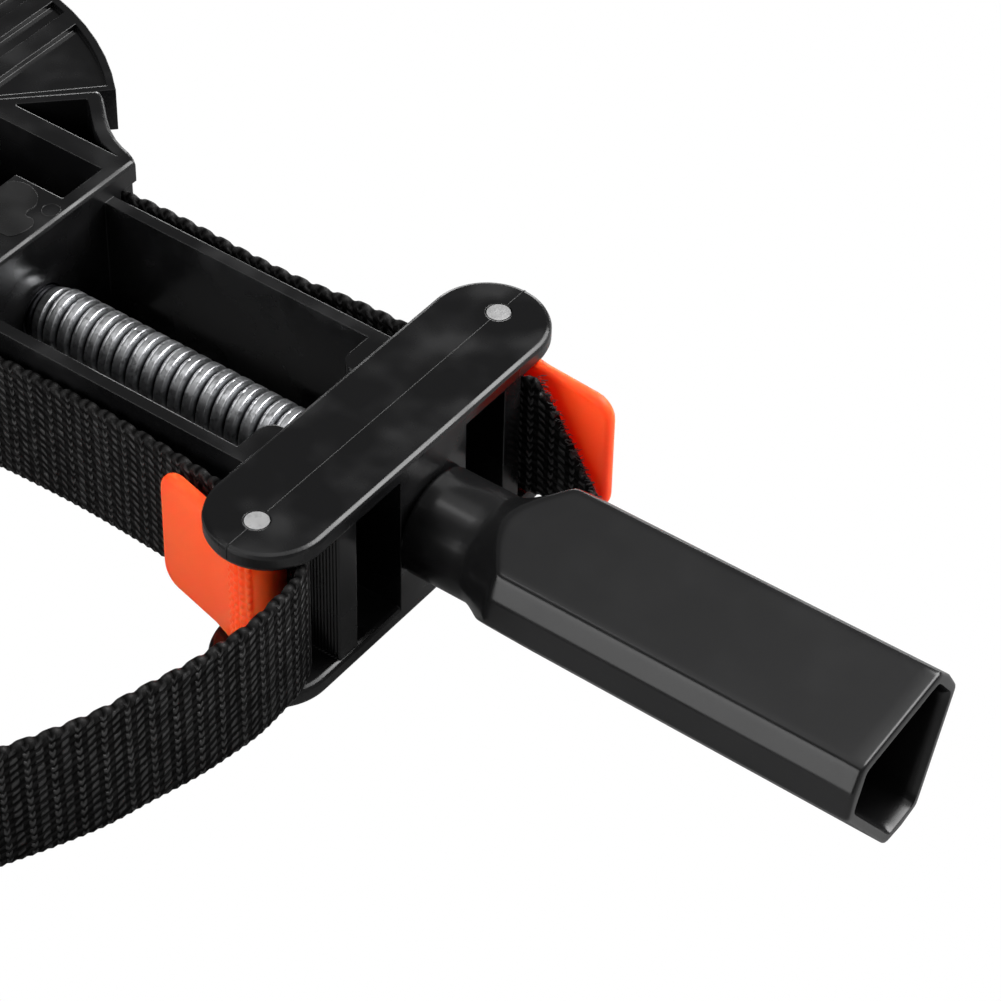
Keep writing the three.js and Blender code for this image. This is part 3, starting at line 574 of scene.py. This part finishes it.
@dataclass
class Webbing:
    """The strap: 25 mm webbing on edge, from its short right end round to the coiled left tail."""

    finishes: Finishes
    width: float = BAND_WIDTH
    thickness: float = 1.6 * MM
    bar_split: float = -11.6 * MM
    foot_at_bar: float = 3.75 * MM
    foot_at_head: float = 1.5 * MM
    head_front: float = -72 * MM
    mouth_depth: float = 2.2 * MM
    channel_plane: float = 21.9 * MM
    run_end: float = -104.6 * MM
    step: float = 0.41 * MM
    fine_reach: float = 165 * MM
    coarse: int = 4
    crease: float = 60
    scallop: float = 0.55 * MM
    foot_scallop: float = 0.34 * MM
    left_points: tuple = ((-12, 23.86), (-20, 22.95), (-30, 22.05), (-45, 21.2), (-58, 21.2), (-66, 21.5),
                          (-70, 21.8))
    right_points: tuple = ((-12, 23.86), (-17, 23.75), (-24, 23.4), (-30, 22.7), (-36, 22.2), (-46, 22.1),
                           (-57, 22.4), (-66, 22.3), (-70, 22.05))
    loop_points: tuple = ((-105, 21.9), (-108, 23.3), (-112, 26.8), (-125, 40), (-136, 50), (-148, 52.5),
                          (-161, 44.5), (-171, 26), (-175, 0))
    bar_points: tuple = ((-11.6, 23.82), (-8, 24.22), (-4, 24.66), (0, 24.9))
    end_points: tuple = ((5, 25), (9.5, 25.5), (13.5, 26.3), (19, 26.6), (26.8, 26.6))
    end_cut: float = 15.4 * MM
    end_least: float = 0.05
    fray_seed: int = 11
    fray_yarns: int = 150
    fray_offset: float = 0.7
    fray_root: float = 0.3
    fray_lean: tuple = (0.4, 0.35, 0.4)
    fray_length: Limits = (0.5, 1.3)
    fray_radius: Limits = (0.12, 0.22)
    fray_point: float = 0.35
    tail_points: tuple = ((2.4, -25.1, 3.75), (5.5, -26.6, 3.75), (8, -29.8, 3.75), (9.4, -33.8, 3.7),
                          (9.6, -38, 3.4), (9.5, -44, 2.9), (8.3, -50.6, 2.4), (7.1, -55.5, 2),
                          (4.2, -63.8, 1.3), (1.8, -71, 0.8), (-2.3, -79.5, 0.3), (-6.2, -87, 0),
                          (-11.9, -102, 0), (-13.8, -118, 0), (-12, -134, 0), (-6.7, -148, 0))
    coil_centre: tuple = (-91.2, -212.6)
    coil_radius: float = 106
    coil_pitch: float = 9.5
    coil_turns: int = 8
    coil_start: float = math.radians(30)

    def build(self) -> list[Piece]:
        runs = [self.run(side) for side in Side]
        return runs + [self.right_end(), self.fray(), self.tail(), self.loop()]

    def foot_on_run(self, x: float, side: Side) -> float:
        """Gives the height of the band's lower edge on a run.

        Args:
            x: the place along the clamp.
            side: the run's side; the left one sinks on its way, the right one in the head.

        Returns:
            The height.
        """
        start, end = self.bar_split, self.head_front
        if side is Side.RIGHT:
            start, end = self.head_front - self.mouth_depth, self.run_end
        share = min(1, max(0, (start - x) / (start - end)))
        return self.foot_at_bar + (self.foot_at_head - self.foot_at_bar) * share

    def section(self, low: float, high: float) -> list[tuple[float, float]]:
        """Gives the band's section as (offset, height) points, with round edges.

        Args:
            low: the lower edge's height in the section.
            high: the upper edge's height.

        Returns:
            The points, anticlockwise.
        """
        half = self.thickness / 2
        edge = min(half, (high - low) / 2)
        arc = [(math.cos(a), math.sin(a)) for a in steps(0, math.pi, 4)]
        lower = [(-half * c, low + edge - edge * s) for c, s in arc]
        upper = [(half * c, high - edge + edge * s) for c, s in arc]
        return lower + upper

    def ribbon(self, name: str, path: Points, top_at: Callable[[Vector], float] | None = None,
               ride: str = "frame", nodes: tuple[str, ...] = (), lean: int = 1) -> Piece:
        """Makes one stretch of webbing on edge along a path of its lower edge.

        Args:
            name: the piece's name.
            path: the lower edge's points.
            top_at: gives the band's height at a point, or None for the whole width.
            ride: the body that carries it.
            nodes: the CAD nodes that it replaces.
            lean: the way that the slanted stitches lean, 1 or -1.

        Returns:
            The piece.
        """
        vertices: Points = []
        coords: list[tuple[float, float]] = []
        travelled = 0.0
        for i, point in enumerate(path):
            before, after = path[max(0, i - 1)], path[min(len(path) - 1, i + 1)]
            travelled += (point - path[i - 1]).length if i else 0
            along = (after - before).normalized()
            out = Vector((-along.y, along.x, 0)).normalized()
            notch = self.scallop * ((1 + math.cos(TURN * travelled / COLUMN_PAIR)) / 2) ** 3
            foot = self.foot_scallop * (1 + math.cos(TURN * travelled / STITCH_ROW)) / 2
            high = self.width if top_at is None else top_at(point)
            section = self.section(min(foot, high / 2), max(high - notch, high / 2))
            for offset, height in section:
                vertices.append(point + out * offset + Vector((0, 0, height)))
                coords.append((travelled * lean, height))
        faces = ring_faces(len(path), len(section), False)
        piece = mesh_object(name, vertices, faces, self.finishes.webbing, self.crease)
        layer = piece.data.uv_layers.new(name="UVMap")
        for loop in piece.data.loops:
            layer.data[loop.index].uv = coords[loop.vertex_index]
        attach(piece, ride)
        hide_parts(*nodes)
        return piece

    def run(self, side: Side) -> Piece:
        """Makes the run between the crossbar and the head.

        Args:
            side: the run's side.

        Returns:
            The piece.
        """
        plan = self.left_points if side is Side.LEFT else self.right_points
        start = [(x * MM, y * MM, self.foot_on_run(x * MM, side)) for x, y in plan]
        inside = (self.head_front, self.head_front - self.mouth_depth, self.run_end)
        straight = [Vector((x, self.channel_plane, self.foot_on_run(x, side))) for x in inside]
        path = even([*catmull_rom(start, self.step), *straight], self.step)
        path = [Vector((p.x, p.y * side.value, p.z)) for p in path]
        name = side.name.lower()
        piece = self.ribbon(f"webbing_run_{name}", path, nodes=(f"strap_run_{name}",), lean=-1)
        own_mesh(piece)
        return piece

    def right_end(self) -> Piece:
        """Makes the short end on the right, cut off at a slant.

        Returns:
            The piece.
        """
        route = [(x * MM, y * MM, self.foot_at_bar) for x, y in (*self.bar_points, *self.end_points)]
        tip = self.end_points[-1][0] * MM

        def height(point: Vector) -> float:
            """Gives the band's height where the slanted cut crosses it."""
            high = self.width * (tip - point.x) / self.end_cut
            return min(self.width, max(self.end_least * self.width, high))

        return self.ribbon("webbing_end_right", catmull_rom(route, self.step), height, "crossbar",
                           ("strap_end_right",))

    def fray(self) -> Piece:
        """Makes the cut end's frayed yarns, pale where the cut melted them.

        Returns:
            The piece.
        """
        draw = random.Random(self.fray_seed)
        tip, side = self.end_points[-1][0] * MM, self.end_points[-1][1] * MM
        slope = Vector((self.width, 0, self.end_cut)).normalized()
        vertices: Points = []
        for i in range(self.fray_yarns):
            share = (i + draw.random()) / self.fray_yarns
            beside = side + draw.uniform(-self.fray_offset, self.fray_offset) * MM
            root = Vector((tip - self.end_cut * share, beside, self.foot_at_bar + self.width * share))
            root -= slope * self.fray_root * MM
            lean = Vector([draw.uniform(-reach, reach) for reach in self.fray_lean])
            end = root + (slope + lean).normalized() * draw.uniform(*self.fray_length) * MM
            thick = draw.uniform(*self.fray_radius) * MM
            for centre, radius in ((root, thick), (end, thick * self.fray_point)):
                for a in steps(0, TURN, 4)[:-1]:
                    vertices.append(centre + Vector((0, math.cos(a), math.sin(a))) * radius)
        faces = []
        for i in range(self.fray_yarns):
            faces += [tuple(8 * i + v for v in face) for face in ring_faces(2, 4, False)]
        piece = mesh_object("webbing_fray", vertices, faces, self.finishes.fray, ALL_SMOOTH)
        piece.data.uv_layers.new(name="UVMap")
        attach(piece, "crossbar")
        return piece

    def loop(self) -> Piece:
        """Makes the loop round the jaws, a cord that both ends hold.

        Returns:
            The piece.
        """
        half = [(x * MM, y * MM, self.foot_at_head) for x, y in self.loop_points]
        whole = half + [(x, -y, z) for x, y, z in reversed(half[:-1])]
        path = catmull_rom(whole, self.step)
        piece = self.ribbon("webbing_loop", path, nodes=("strap_loop",))
        return piece

    def tail(self) -> Piece:
        """Makes the free left tail and the coil that it ends in.

        Returns:
            The piece.
        """
        points = [(x, -y, self.foot_at_bar / MM) for x, y in self.bar_points]
        points += list(self.tail_points)
        cx, cy = self.coil_centre
        spiral = []
        for turns in steps(0, self.coil_turns, self.coil_turns * CURVE_STEPS):
            radius = self.coil_radius - self.coil_pitch * turns
            angle = self.coil_start - TURN * turns
            spiral.append((cx + radius * math.cos(angle), cy + radius * math.sin(angle), 0))
        path = catmull_rom([tuple(c * MM for c in p) for p in points + spiral], self.step)
        fine = round(self.fine_reach / self.step)
        path = path[:fine] + path[fine:-1:self.coarse] + path[-1:]
        nodes = ("strap_tail_left", "strap_coil")
        piece = self.ribbon("webbing_tail_left", path, ride="crossbar", nodes=nodes)
        return piece


# ---- screw


@dataclass
class Screw:
    """The threaded screw with its plain tip and tail."""

    finishes: Finishes
    start: float = -79 * MM
    thread_start: float = -72 * MM
    thread_end: float = 21.7 * MM
    end: float = 39.6 * MM
    crest: float = 6 * MM
    root: float = 4.8 * MM
    plain: float = 5 * MM
    pitch: float = 3 * MM
    flank_foot: float = 0.98
    flank: float = 0.46
    mark_depth: float = 0.09 * MM
    mark_phase: float = 0.36
    mark_reach: float = 0.04
    run_in: float = 4 * MM
    chamfer: float = 0.75 * MM
    sides: int = 72
    crease: float = 50
    step: float = 0.14 * MM

    def radius(self, x: float, angle: float) -> float:
        """Gives the surface's radius at a place and an angle about the axis.

        The thread's round flanks rise from its root to its crest, which a fine rolling mark scores.

        Args:
            x: the place along the axis.
            angle: the angle about it.

        Returns:
            The radius.
        """
        if x < self.thread_start or x > self.thread_end:
            inwards = min(1, (x - self.start) / MM, (self.end - x) / MM)
            return self.plain - self.chamfer * (1 - max(0, inwards))
        phase = (x / self.pitch - angle / TURN) % 1
        away = abs(phase - 0.5) * 2
        rise = min(1, max(0, (self.flank_foot - away) / self.flank))
        rise = rise * rise * (3 - 2 * rise)
        mark = self.mark_depth * max(0, 1 - abs(phase - self.mark_phase) / self.mark_reach)
        lead = min(1, max(0, (x - self.thread_start) / self.run_in))
        return self.root + (self.crest - self.root) * rise * lead - mark * rise * lead

    def build(self) -> Piece:
        """Builds the screw in place of its plain solid.

        Returns:
            The piece.
        """
        count = round((self.end - self.start) / self.step)
        angles = steps(0, TURN, self.sides)[:-1]
        places = steps(self.start, self.end, count)
        vertices = [about_axis(x, self.radius(x, a), a) for x in places for a in angles]
        faces = ring_faces(count + 1, self.sides, False)
        piece = mesh_object("threaded_screw", vertices, faces, self.finishes.thread, self.crease)
        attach(piece, "spindle")
        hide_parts("spindle")
        return piece


# ---- handle


@dataclass
class Handle:
    """The hollow three-cornered grip with its round neck, in radii about the screw's axis."""

    finishes: Finishes
    start: float = 10.7 * MM
    neck_end: float = 22.5 * MM
    tip: float = 98.5 * MM
    neck_radius: float = 9.4 * MM
    shoulder: float = 11.5 * MM
    flare: float = 1.4
    ring_gap: float = 0.45 * MM
    grip_radius: float = 17.5 * MM
    long_face: float = 11.4 * MM
    short_face: float = 15 * MM
    bulge: float = 0.5 * MM
    taper: float = 0.045
    wall: float = 2 * MM
    lip: float = 0.5 * MM
    crispness: float = 75
    hollow_crispness: float = 34
    meeting: float = 60
    web_start: float = 22 * MM
    hollow_start: float = 28 * MM
    screw_bore: float = 6.3 * MM
    tail_bore: float = 5.3 * MM
    edge_round: float = 0.7 * MM
    turn: float = math.radians(98)
    sides: int = 216
    crease: float = 35
    neck_rings: int = 6
    shoulder_rings: int = 30
    grip_rings: int = 24
    hollow_rings: int = 48
    least_facing: float = 0.3

    def section(self, angle: float, inset: float, bulge: float, crispness: float) -> float:
        """Gives the three-cornered section's radius at an angle, with rounded corners.

        Args:
            angle: the angle from the middle of a wide face.
            inset: how far inside the outer face it lies.
            bulge: how far a narrow face swells in its middle.
            crispness: how sharp the corners are.

        Returns:
            The radius.
        """
        corner = (self.long_face - self.short_face / 2) / math.sin(math.pi / 3)
        tilt = math.atan2(bulge, corner)
        narrow = (self.short_face + bulge - inset) * math.cos(tilt)
        total = 0.0
        for third in range(3):
            wide = math.cos(angle - third * TURN / 3)
            away = abs((angle - (2 * third + 1) * math.pi / 3 + math.pi) % TURN - math.pi)
            for facing, distance in ((wide, self.long_face - inset), (math.cos(away - tilt), narrow)):
                if facing > self.least_facing:
                    total += (distance / facing) ** -crispness
        return total ** (-1 / crispness)

    def radius(self, x: float, angle: float, inset: float, crispness: float) -> float:
        """Gives the surface's radius: the section's, or the round neck's and shoulder's if smaller.

        Args:
            x: the place along the axis.
            angle: the angle about it.
            inset: how far inside the outer surface it lies.
            crispness: how sharp the section's corners are.

        Returns:
            The radius.
        """
        scale = 1 - self.taper * (self.tip - x) / (self.tip - self.start)
        bulge = self.bulge if inset < self.wall / 2 else 0
        section = self.section(angle, inset, bulge, crispness) * scale
        along = min(1, max(0, (x - self.neck_end) / self.shoulder))
        limit = self.neck_radius + (self.grip_radius - self.neck_radius) * along ** self.flare - inset
        return (section ** -self.meeting + limit ** -self.meeting) ** (-1 / self.meeting)

    def build(self) -> Piece:
        """Builds the handle in place of its faceted solid.

        Returns:
            The piece.
        """
        soft = self.edge_round
        arc = [math.radians(a) for a in (0, 22, 45, 67, 90)]
        flat = self.neck_end + self.ring_gap * self.shoulder_rings
        outer = steps(self.start + soft, self.neck_end, self.neck_rings)
        outer += steps(self.neck_end, flat, self.shoulder_rings)[1:]
        outer += steps(flat, self.tip - soft, self.grip_rings)[1:]
        angles = steps(0, TURN, self.sides)[:-1]
        rings: list[tuple[float, list[float]]] = []

        def even_ring(x: float, radius: float) -> None:
            """Adds a round ring."""
            rings.append((x, [radius] * self.sides))

        even_ring(self.start, self.screw_bore)
        for a in arc[-2::-1]:
            even_ring(self.start + soft * (1 - math.sin(a)), self.neck_radius - soft * (1 - math.cos(a)))
        for x in outer:
            rings.append((x, [self.radius(x, a, 0, self.crispness) for a in angles]))
        for a in arc[1:]:
            x = self.tip - soft * (1 - math.sin(a))
            inset = soft * (1 - math.cos(a))
            rings.append((x, [self.radius(x, k, inset, self.crispness) for k in angles]))
        for x in steps(self.tip, self.hollow_start, self.hollow_rings):
            inset = self.wall - self.lip * max(0, 1 - (self.tip - x) / MM)
            rings.append((x, [self.radius(x, a, inset, self.hollow_crispness) for a in angles]))
        even_ring(self.hollow_start, self.tail_bore)
        even_ring(self.web_start, self.tail_bore)
        even_ring(self.web_start, self.screw_bore)
        vertices = [about_axis(x, r, a + self.turn) for x, radii in rings for a, r in zip(angles, radii)]
        faces = ring_faces(len(rings), self.sides, True)
        piece = mesh_object("handle_grip", vertices, faces, self.finishes.grip, self.crease)
        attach(piece, "spindle")
        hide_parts("handle")
        return piece


# ---- cam levers


@dataclass
class CamLever:
    """One cam lever: a paddle with rounded edges on a hub whose cam is knurled."""

    finishes: Finishes
    side: Side
    turn: float
    low: float = 3.7 * MM
    high: float = 27.8 * MM
    length: float = 24.3 * MM
    half: float = 1.25 * MM
    root_half: float = 2.5 * MM
    root_length: float = 10 * MM
    corner: float = 4 * MM
    edge_round: float = 1.1 * MM
    hub: float = 4.4 * MM
    hub_round: float = 0.4 * MM
    hub_sides: int = 144
    bore: float = 2.3 * MM
    tooth: float = 0.6 * MM
    tooth_arc: float = math.radians(80)
    teeth: int = 5
    tooth_rise: float = 1.6 * MM
    crease: float = 40

    def placed(self, x: float, y: float, z: float) -> Vector:
        """Puts a point of the lever in its place.

        Args:
            x: how far along the paddle it lies from the pin.
            y: how far from the paddle's middle, outwards.
            z: its height.

        Returns:
            The point in the scene.
        """
        y *= self.side.value
        cos, sin = math.cos(self.turn), math.sin(self.turn)
        return Vector((x * cos - y * sin, x * sin + y * cos + PIN_Y * self.side.value, z))

    def half_at(self, x: float) -> float:
        """Gives half of the paddle's thickness, more towards its root."""
        return self.half + (self.root_half - self.half) * max(0, 1 - x / self.root_length)

    def outline(self, inset: float) -> list[tuple[float, float]]:
        """Gives the paddle's outline from its root round its tip.

        Args:
            inset: how far the outline is moved inwards.

        Returns:
            The (x, z) points.
        """
        radius = self.corner - inset
        centre = self.length - self.corner
        half = [(x, self.low + inset) for x in steps(0, centre, 10)]
        for a in steps(0, math.pi / 2, 6)[1:]:
            half.append((centre + radius * math.sin(a), self.low + self.corner - radius * math.cos(a)))
        middle = self.low + self.high
        return half + [(x, middle - z) for x, z in reversed(half)]

    def paddle(self) -> tuple[Points, Faces]:
        """Makes the paddle's skin: outlines that step inwards while the thickness grows.

        Returns:
            Its points and its faces.
        """
        bullnose = steps(0, math.pi / 2, 5)
        profile = [(a, 1) for a in reversed(bullnose)] + [(a, -1) for a in bullnose[1:]]
        vertices = []
        for a, face in profile:
            for x, z in self.outline(self.edge_round * (1 - math.cos(a))):
                vertices.append(self.placed(x, face * self.half_at(x) * math.sin(a), z))
        size = len(vertices) // len(profile)
        faces = []
        for i in range(len(profile) - 1):
            for k in range(size - 1):
                faces.append((i * size + k, i * size + k + 1, (i + 1) * size + k + 1, (i + 1) * size + k))
        for base in (0, (len(profile) - 1) * size):
            for k in range(size // 2 - 1):
                faces.append((base + k, base + k + 1, base + size - 2 - k, base + size - 1 - k))
        root = [i * size for i in range(len(profile))]
        faces.append(tuple(root + [i + size - 1 for i in reversed(root)]))
        return vertices, faces

    def hub_radius(self, angle: float, z: float) -> float:
        """Gives the hub's radius, with pyramids on the cam.

        Args:
            angle: the angle about the pin.
            z: the height.

        Returns:
            The radius.
        """
        from_cam = (angle + math.pi / 2 + math.pi) % TURN - math.pi
        if abs(from_cam) > self.tooth_arc / 2:
            return self.hub
        across = abs(((from_cam / self.tooth_arc + 0.5) * self.teeth) % 1 - 0.5) * 2
        up = abs(((z - self.low) / self.tooth_rise) % 1 - 0.5) * 2
        return self.hub + self.tooth * (1 - max(across, up))

    def barrel(self, first: int) -> tuple[Points, Faces]:
        """Makes the hub's skin round its bore.

        Args:
            first: the number of its first point.

        Returns:
            Its points and its faces.
        """
        soft, sides = self.hub_round, self.hub_sides
        rows = round((self.high - self.low) / (self.tooth_rise / 4))
        rings: list[tuple[float | None, float]] = [(self.bore, self.low), (self.hub - soft, self.low)]
        rings += [(None, z) for z in steps(self.low + soft, self.high - soft, rows)]
        rings += [(self.hub - soft, self.high), (self.bore, self.high)]
        vertices = []
        for plain, z in rings:
            for a in steps(0, TURN, sides)[:-1]:
                r = self.hub_radius(a, z) if plain is None else plain
                vertices.append(self.placed(r * math.cos(a), r * math.sin(a), z))
        return vertices, [tuple(first + v for v in face) for face in ring_faces(len(rings), sides, True)]

    def build(self) -> Piece:
        """Builds the lever in place of its plain solid.

        Returns:
            The piece.
        """
        vertices, faces = self.paddle()
        more, more_faces = self.barrel(len(vertices))
        name = self.side.name.lower()
        vertices, faces = vertices + more, faces + more_faces
        piece = mesh_object(f"cam_lever_{name}", vertices, faces, self.finishes.orange, self.crease)
        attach(piece, f"lever_{name}")
        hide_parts(f"lever_{name}")
        return piece


# ---- mould lines


@dataclass
class MouldLines:
    """The fine ridges and marks that the mould leaves on the crossbar and the frame's head."""

    finishes: Finishes
    half_width: float = 0.2 * MM
    rise: float = 0.12 * MM
    pin_clear: float = 2.4 * MM
    plate: float = 3.4 * MM
    soft: float = 0.8 * MM
    circle: tuple = (-74.5, 6.23, 1.6)
    circle_scale: float = 0.8
    circle_steps: int = 40
    gate: tuple = ((-84.9, -3), (-84.9, 2), (-84.9, 7.4), (-83.5, 8.6), (-81.2, 8.8), (-79.2, 8),
                   (-77.8, 6.7), (-77.2, 5.1), (-77.3, 3.4), (-76.7, 2.5), (-75.2, 2.5), (-74.2, 1.4),
                   (-74.1, -0.1), (-74.5, -1.9), (-75.2, -3.1), (-76.6, -3.4), (-78.4, -3.3),
                   (-80.2, -3.5), (-82.3, -3.8))
    gate_step: float = 0.3 * MM

    def ridge(self, name: str, path: Points, normals: Points, body: str, scale: float = 1) -> Piece:
        """Makes a low ridge along a path.

        Args:
            name: the piece's name.
            path: its points on the surface.
            normals: the surface's normal at each point.
            body: the body that carries it.
            scale: its section against the usual one.

        Returns:
            The piece.
        """
        width, rise = self.half_width * scale, self.rise * scale
        vertices = []
        for i, (point, normal) in enumerate(zip(path, normals)):
            along = path[min(i + 1, len(path) - 1)] - path[max(i - 1, 0)]
            across = along.cross(normal).normalized()
            vertices += [point + across * width - normal * rise, point + normal * rise,
                         point - across * width - normal * rise]
        piece = mesh_object(name, vertices, ring_faces(len(path), 3, False), self.finishes.mark)
        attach(piece, body)
        return piece

    def ring(self, top: float) -> Piece:
        """Makes the small ring on the head.

        Args:
            top: the height of the head's top.

        Returns:
            The piece.
        """
        x, y, radius = (v * MM for v in self.circle)
        angles = steps(0, TURN, self.circle_steps)
        path = [Vector((x + radius * math.cos(a), y + radius * math.sin(a), top)) for a in angles]
        up = [Vector((0, 0, 1))] * len(path)
        return self.ridge("mould_mark_ring", path, up, "frame", self.circle_scale)

    def gate_mark(self, top: float) -> Piece:
        """Makes the shallow raised mark on the head.

        Args:
            top: the height of the head's top.

        Returns:
            The piece.
        """
        corners = [(x * MM, y * MM, 0) for x, y in self.gate]
        outline = catmull_rom([*corners, corners[0]], self.gate_step)[:-1]
        vertices = [p + Vector((0, 0, z)) for z in (top - self.rise, top + self.rise) for p in outline]
        faces = ring_faces(2, len(outline), False)
        piece = mesh_object("mould_mark_gate", vertices, faces, self.finishes.mark)
        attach(piece, "frame")
        return piece

    def build(self) -> list[Piece]:
        """Builds the ridges over the crossbar's top plate and the marks on the head.

        Returns:
            The pieces.
        """
        _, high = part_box("crossbar")
        top, end = high[2], high[1]
        up, soft = Vector((0, 0, 1)), self.soft
        middle = [Vector((0, y, top)) for y in (self.pin_clear - PIN_Y, 0.0, PIN_Y - self.pin_clear)]
        pieces = [self.ridge("mould_line_middle", middle, [up] * 3, "crossbar")]
        for side in Side:
            s = side.value
            path, normals = [Vector((0, s * (PIN_Y + self.pin_clear), top))], [up]
            for a in steps(0, math.pi / 2, 3):
                sin, cos = math.sin(a), math.cos(a)
                path.append(Vector((0, s * (end - soft + soft * sin), top - soft + soft * cos)))
                normals.append(Vector((0, s * sin, cos)))
            path.append(Vector((0, s * end, top - self.plate + soft)))
            normals.append(Vector((0, s, 0)))
            pieces.append(self.ridge(f"mould_line_{side.name.lower()}", path, normals, "crossbar"))
        return pieces + [self.ring(top), self.gate_mark(top)]


# ---- carried-over CAD pieces


@dataclass
class Mouldings:
    """The rigid pieces whose solids are shown as they are, with their finishes."""

    finishes: Finishes
    nodes: dict[str, Piece]
    black: tuple[str, ...] = ("main_frame", "crossbar", "jaw_left", "jaw_right")
    zinc: tuple[str, ...] = ("spindle_nut", "handle_washer", "handle_nut", "thrust_pad")
    pins: tuple[str, ...] = ("lever_pin_left", "lever_pin_right", "jaw_pin")

    def build(self) -> list[str]:
        """Gives each node's material slots its finish.

        Returns:
            The names of the dressed nodes.
        """
        finish = dict.fromkeys(self.black, self.finishes.black)
        finish |= dict.fromkeys(self.zinc, self.finishes.zinc) | dict.fromkeys(self.pins, self.finishes.pin)
        for name, material in finish.items():
            node = self.nodes[name]
            if not node.material_slots:
                node.data.materials.append(material)
            for slot in node.material_slots:
                slot.material = material
        return list(finish)


# ---- studio


@dataclass(frozen=True)
class Lamp:
    """A soft rectangular lamp that faces the clamp; shiny surfaces show it if it's mirrored."""

    name: str
    place: tuple[float, float, float]
    size: tuple[float, float]
    power: float
    aim_height: float = 0.0
    mirrored: bool = True

    def hang(self) -> None:
        """Hangs the lamp in the scene."""
        data = bpy.data.lights.new(self.name, "AREA")
        data.shape = "RECTANGLE"
        data.size, data.size_y = self.size
        data.energy = self.power
        lamp = bpy.data.objects.new(self.name, data)
        lamp.visible_camera = False
        lamp.visible_glossy = self.mirrored
        lamp.location = self.place
        aim = Vector((0, 0, self.aim_height)) - Vector(self.place)
        lamp.rotation_euler = aim.to_track_quat("-Z", "Y").to_euler()
        bpy.context.scene.collection.objects.link(lamp)


@dataclass
class Studio:
    """The white floor, the soft lamps and the camera at the photograph's angle."""

    camera_place: tuple = (0.2765, -0.3530, 0.4368)
    right: tuple = (0.8027, 0.5962, 0.0179)
    up: tuple = (-0.4192, 0.5424, 0.7281)
    sensor: float = 36
    focal_pixels: float = 3834
    frame_pixels: float = 1001
    floor_half: float = 3.0
    floor_depth: float = 0.2 * MM
    floor_grey: float = 0.22
    floor_shine: float = 0.05
    glow: Limits = (0.13, 0.85)
    glow_limits: Limits = (0.78, 0.9)
    lamps: tuple[Lamp, ...] = (
        Lamp("left_wall", (-0.42, -0.87, 0.28), (1.1, 0.44), 3.9, aim_height=0.05),
        Lamp("back_wall", (-0.42, 0.87, 0.1), (1.0, 0.14), 2.4, aim_height=0.03),
        Lamp("right_top", (0.3, 0.59, 0.74), (0.75, 0.6), 12),
        Lamp("right_soft", (0.58, 0.7, 0.3), (0.3, 0.3), 13, mirrored=False),
        Lamp("top_strip", (-0.4, -0.12, 0.9), (0.2, 0.06), 0.12),
        Lamp("front_soft", (-0.36, -0.8, 0.5), (0.35, 0.35), 7.2, mirrored=False),
    )

    def camera(self) -> None:
        """Sets the camera up."""
        data = bpy.data.cameras.new("photo_camera")
        data.sensor_width = self.sensor
        data.lens = self.sensor * self.focal_pixels / self.frame_pixels
        data.clip_end = 20
        right = Vector(self.right).normalized()
        up = Vector(self.up)
        up = (up - right * up.dot(right)).normalized()
        turn = Matrix((right, up, right.cross(up))).transposed().to_4x4()
        camera = bpy.data.objects.new("photo_camera", data)
        camera.matrix_world = Matrix.Translation(self.camera_place) @ turn
        bpy.context.scene.collection.objects.link(camera)
        bpy.context.scene.camera = camera

    def floor(self) -> None:
        """Lays the floor, white to the camera and still shadowed."""
        material, sheet, _ = new_material("studio_floor")
        sheet.tree.nodes.clear()
        diffuse = sheet.add("BsdfDiffuse", {0: (*[self.floor_grey] * 3, 1)}).outputs[0]
        ray = sheet.add("LightPath").outputs
        seen = sheet.math("MULTIPLY_ADD", ray["Is Glossy Ray"], self.floor_shine, ray["Is Camera Ray"])
        sheet.finish(seen, diffuse, sheet.add("Emission").outputs[0], "OutputMaterial")
        half = self.floor_half
        plan = ((-half, -half), (half, -half), (half, half), (-half, half))
        corners = [Vector((x, y, -self.floor_depth)) for x, y in plan]
        floor = mesh_object("studio_floor", corners, [(0, 1, 2, 3)], material)

    def world(self) -> None:
        """Lights the scene from all round, white to the camera."""
        world = bpy.data.worlds.new("studio_world")
        bpy.context.scene.world = world
        world.use_nodes = True
        sheet = NodeSheet(world.node_tree)
        sheet.tree.nodes.clear()
        height = sheet.add("SeparateXYZ", {0: sheet.add("TexCoord").outputs["Generated"]}).outputs[2]
        glow = sheet.spread(height, self.glow_limits, self.glow)
        plain = sheet.add("Background", {0: (1, 1, 1, 1), 1: glow}).outputs[0]
        white = sheet.add("Background", {0: (1, 1, 1, 1)}).outputs[0]
        sheet.finish(sheet.add("LightPath").outputs["Is Camera Ray"], plain, white, "OutputWorld")

    def build(self) -> None:
        """Builds the stage."""
        bpy.context.scene.view_settings.view_transform = "Standard"
        self.camera()
        self.floor()
        self.world()
        for lamp in self.lamps:
            lamp.hang()


# ---- the whole clamp


def main() -> None:
    """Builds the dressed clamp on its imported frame."""
    logging.basicConfig(level=logging.INFO, format="%(name)s: %(message)s")
    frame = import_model()
    Studio().build()
    finishes = Finishes()
    for piece in Webbing(finishes).build():
        log.info("webbing %s", piece.name)
    log.info("screw %s", Screw(finishes).build().name)
    log.info("handle %s", Handle(finishes).build().name)
    for side, turn in ((Side.RIGHT, LOCKED), (Side.LEFT, -LOCKED - LEVER_SWING)):
        log.info("lever %s", CamLever(finishes, side, turn).build().name)
    for piece in MouldLines(finishes).build():
        log.info("mould line %s", piece.name)
    for name in Mouldings(finishes, frame["nodes"]).build():
        log.info("dressed %s", name)


if __name__ == "__main__":
    main()
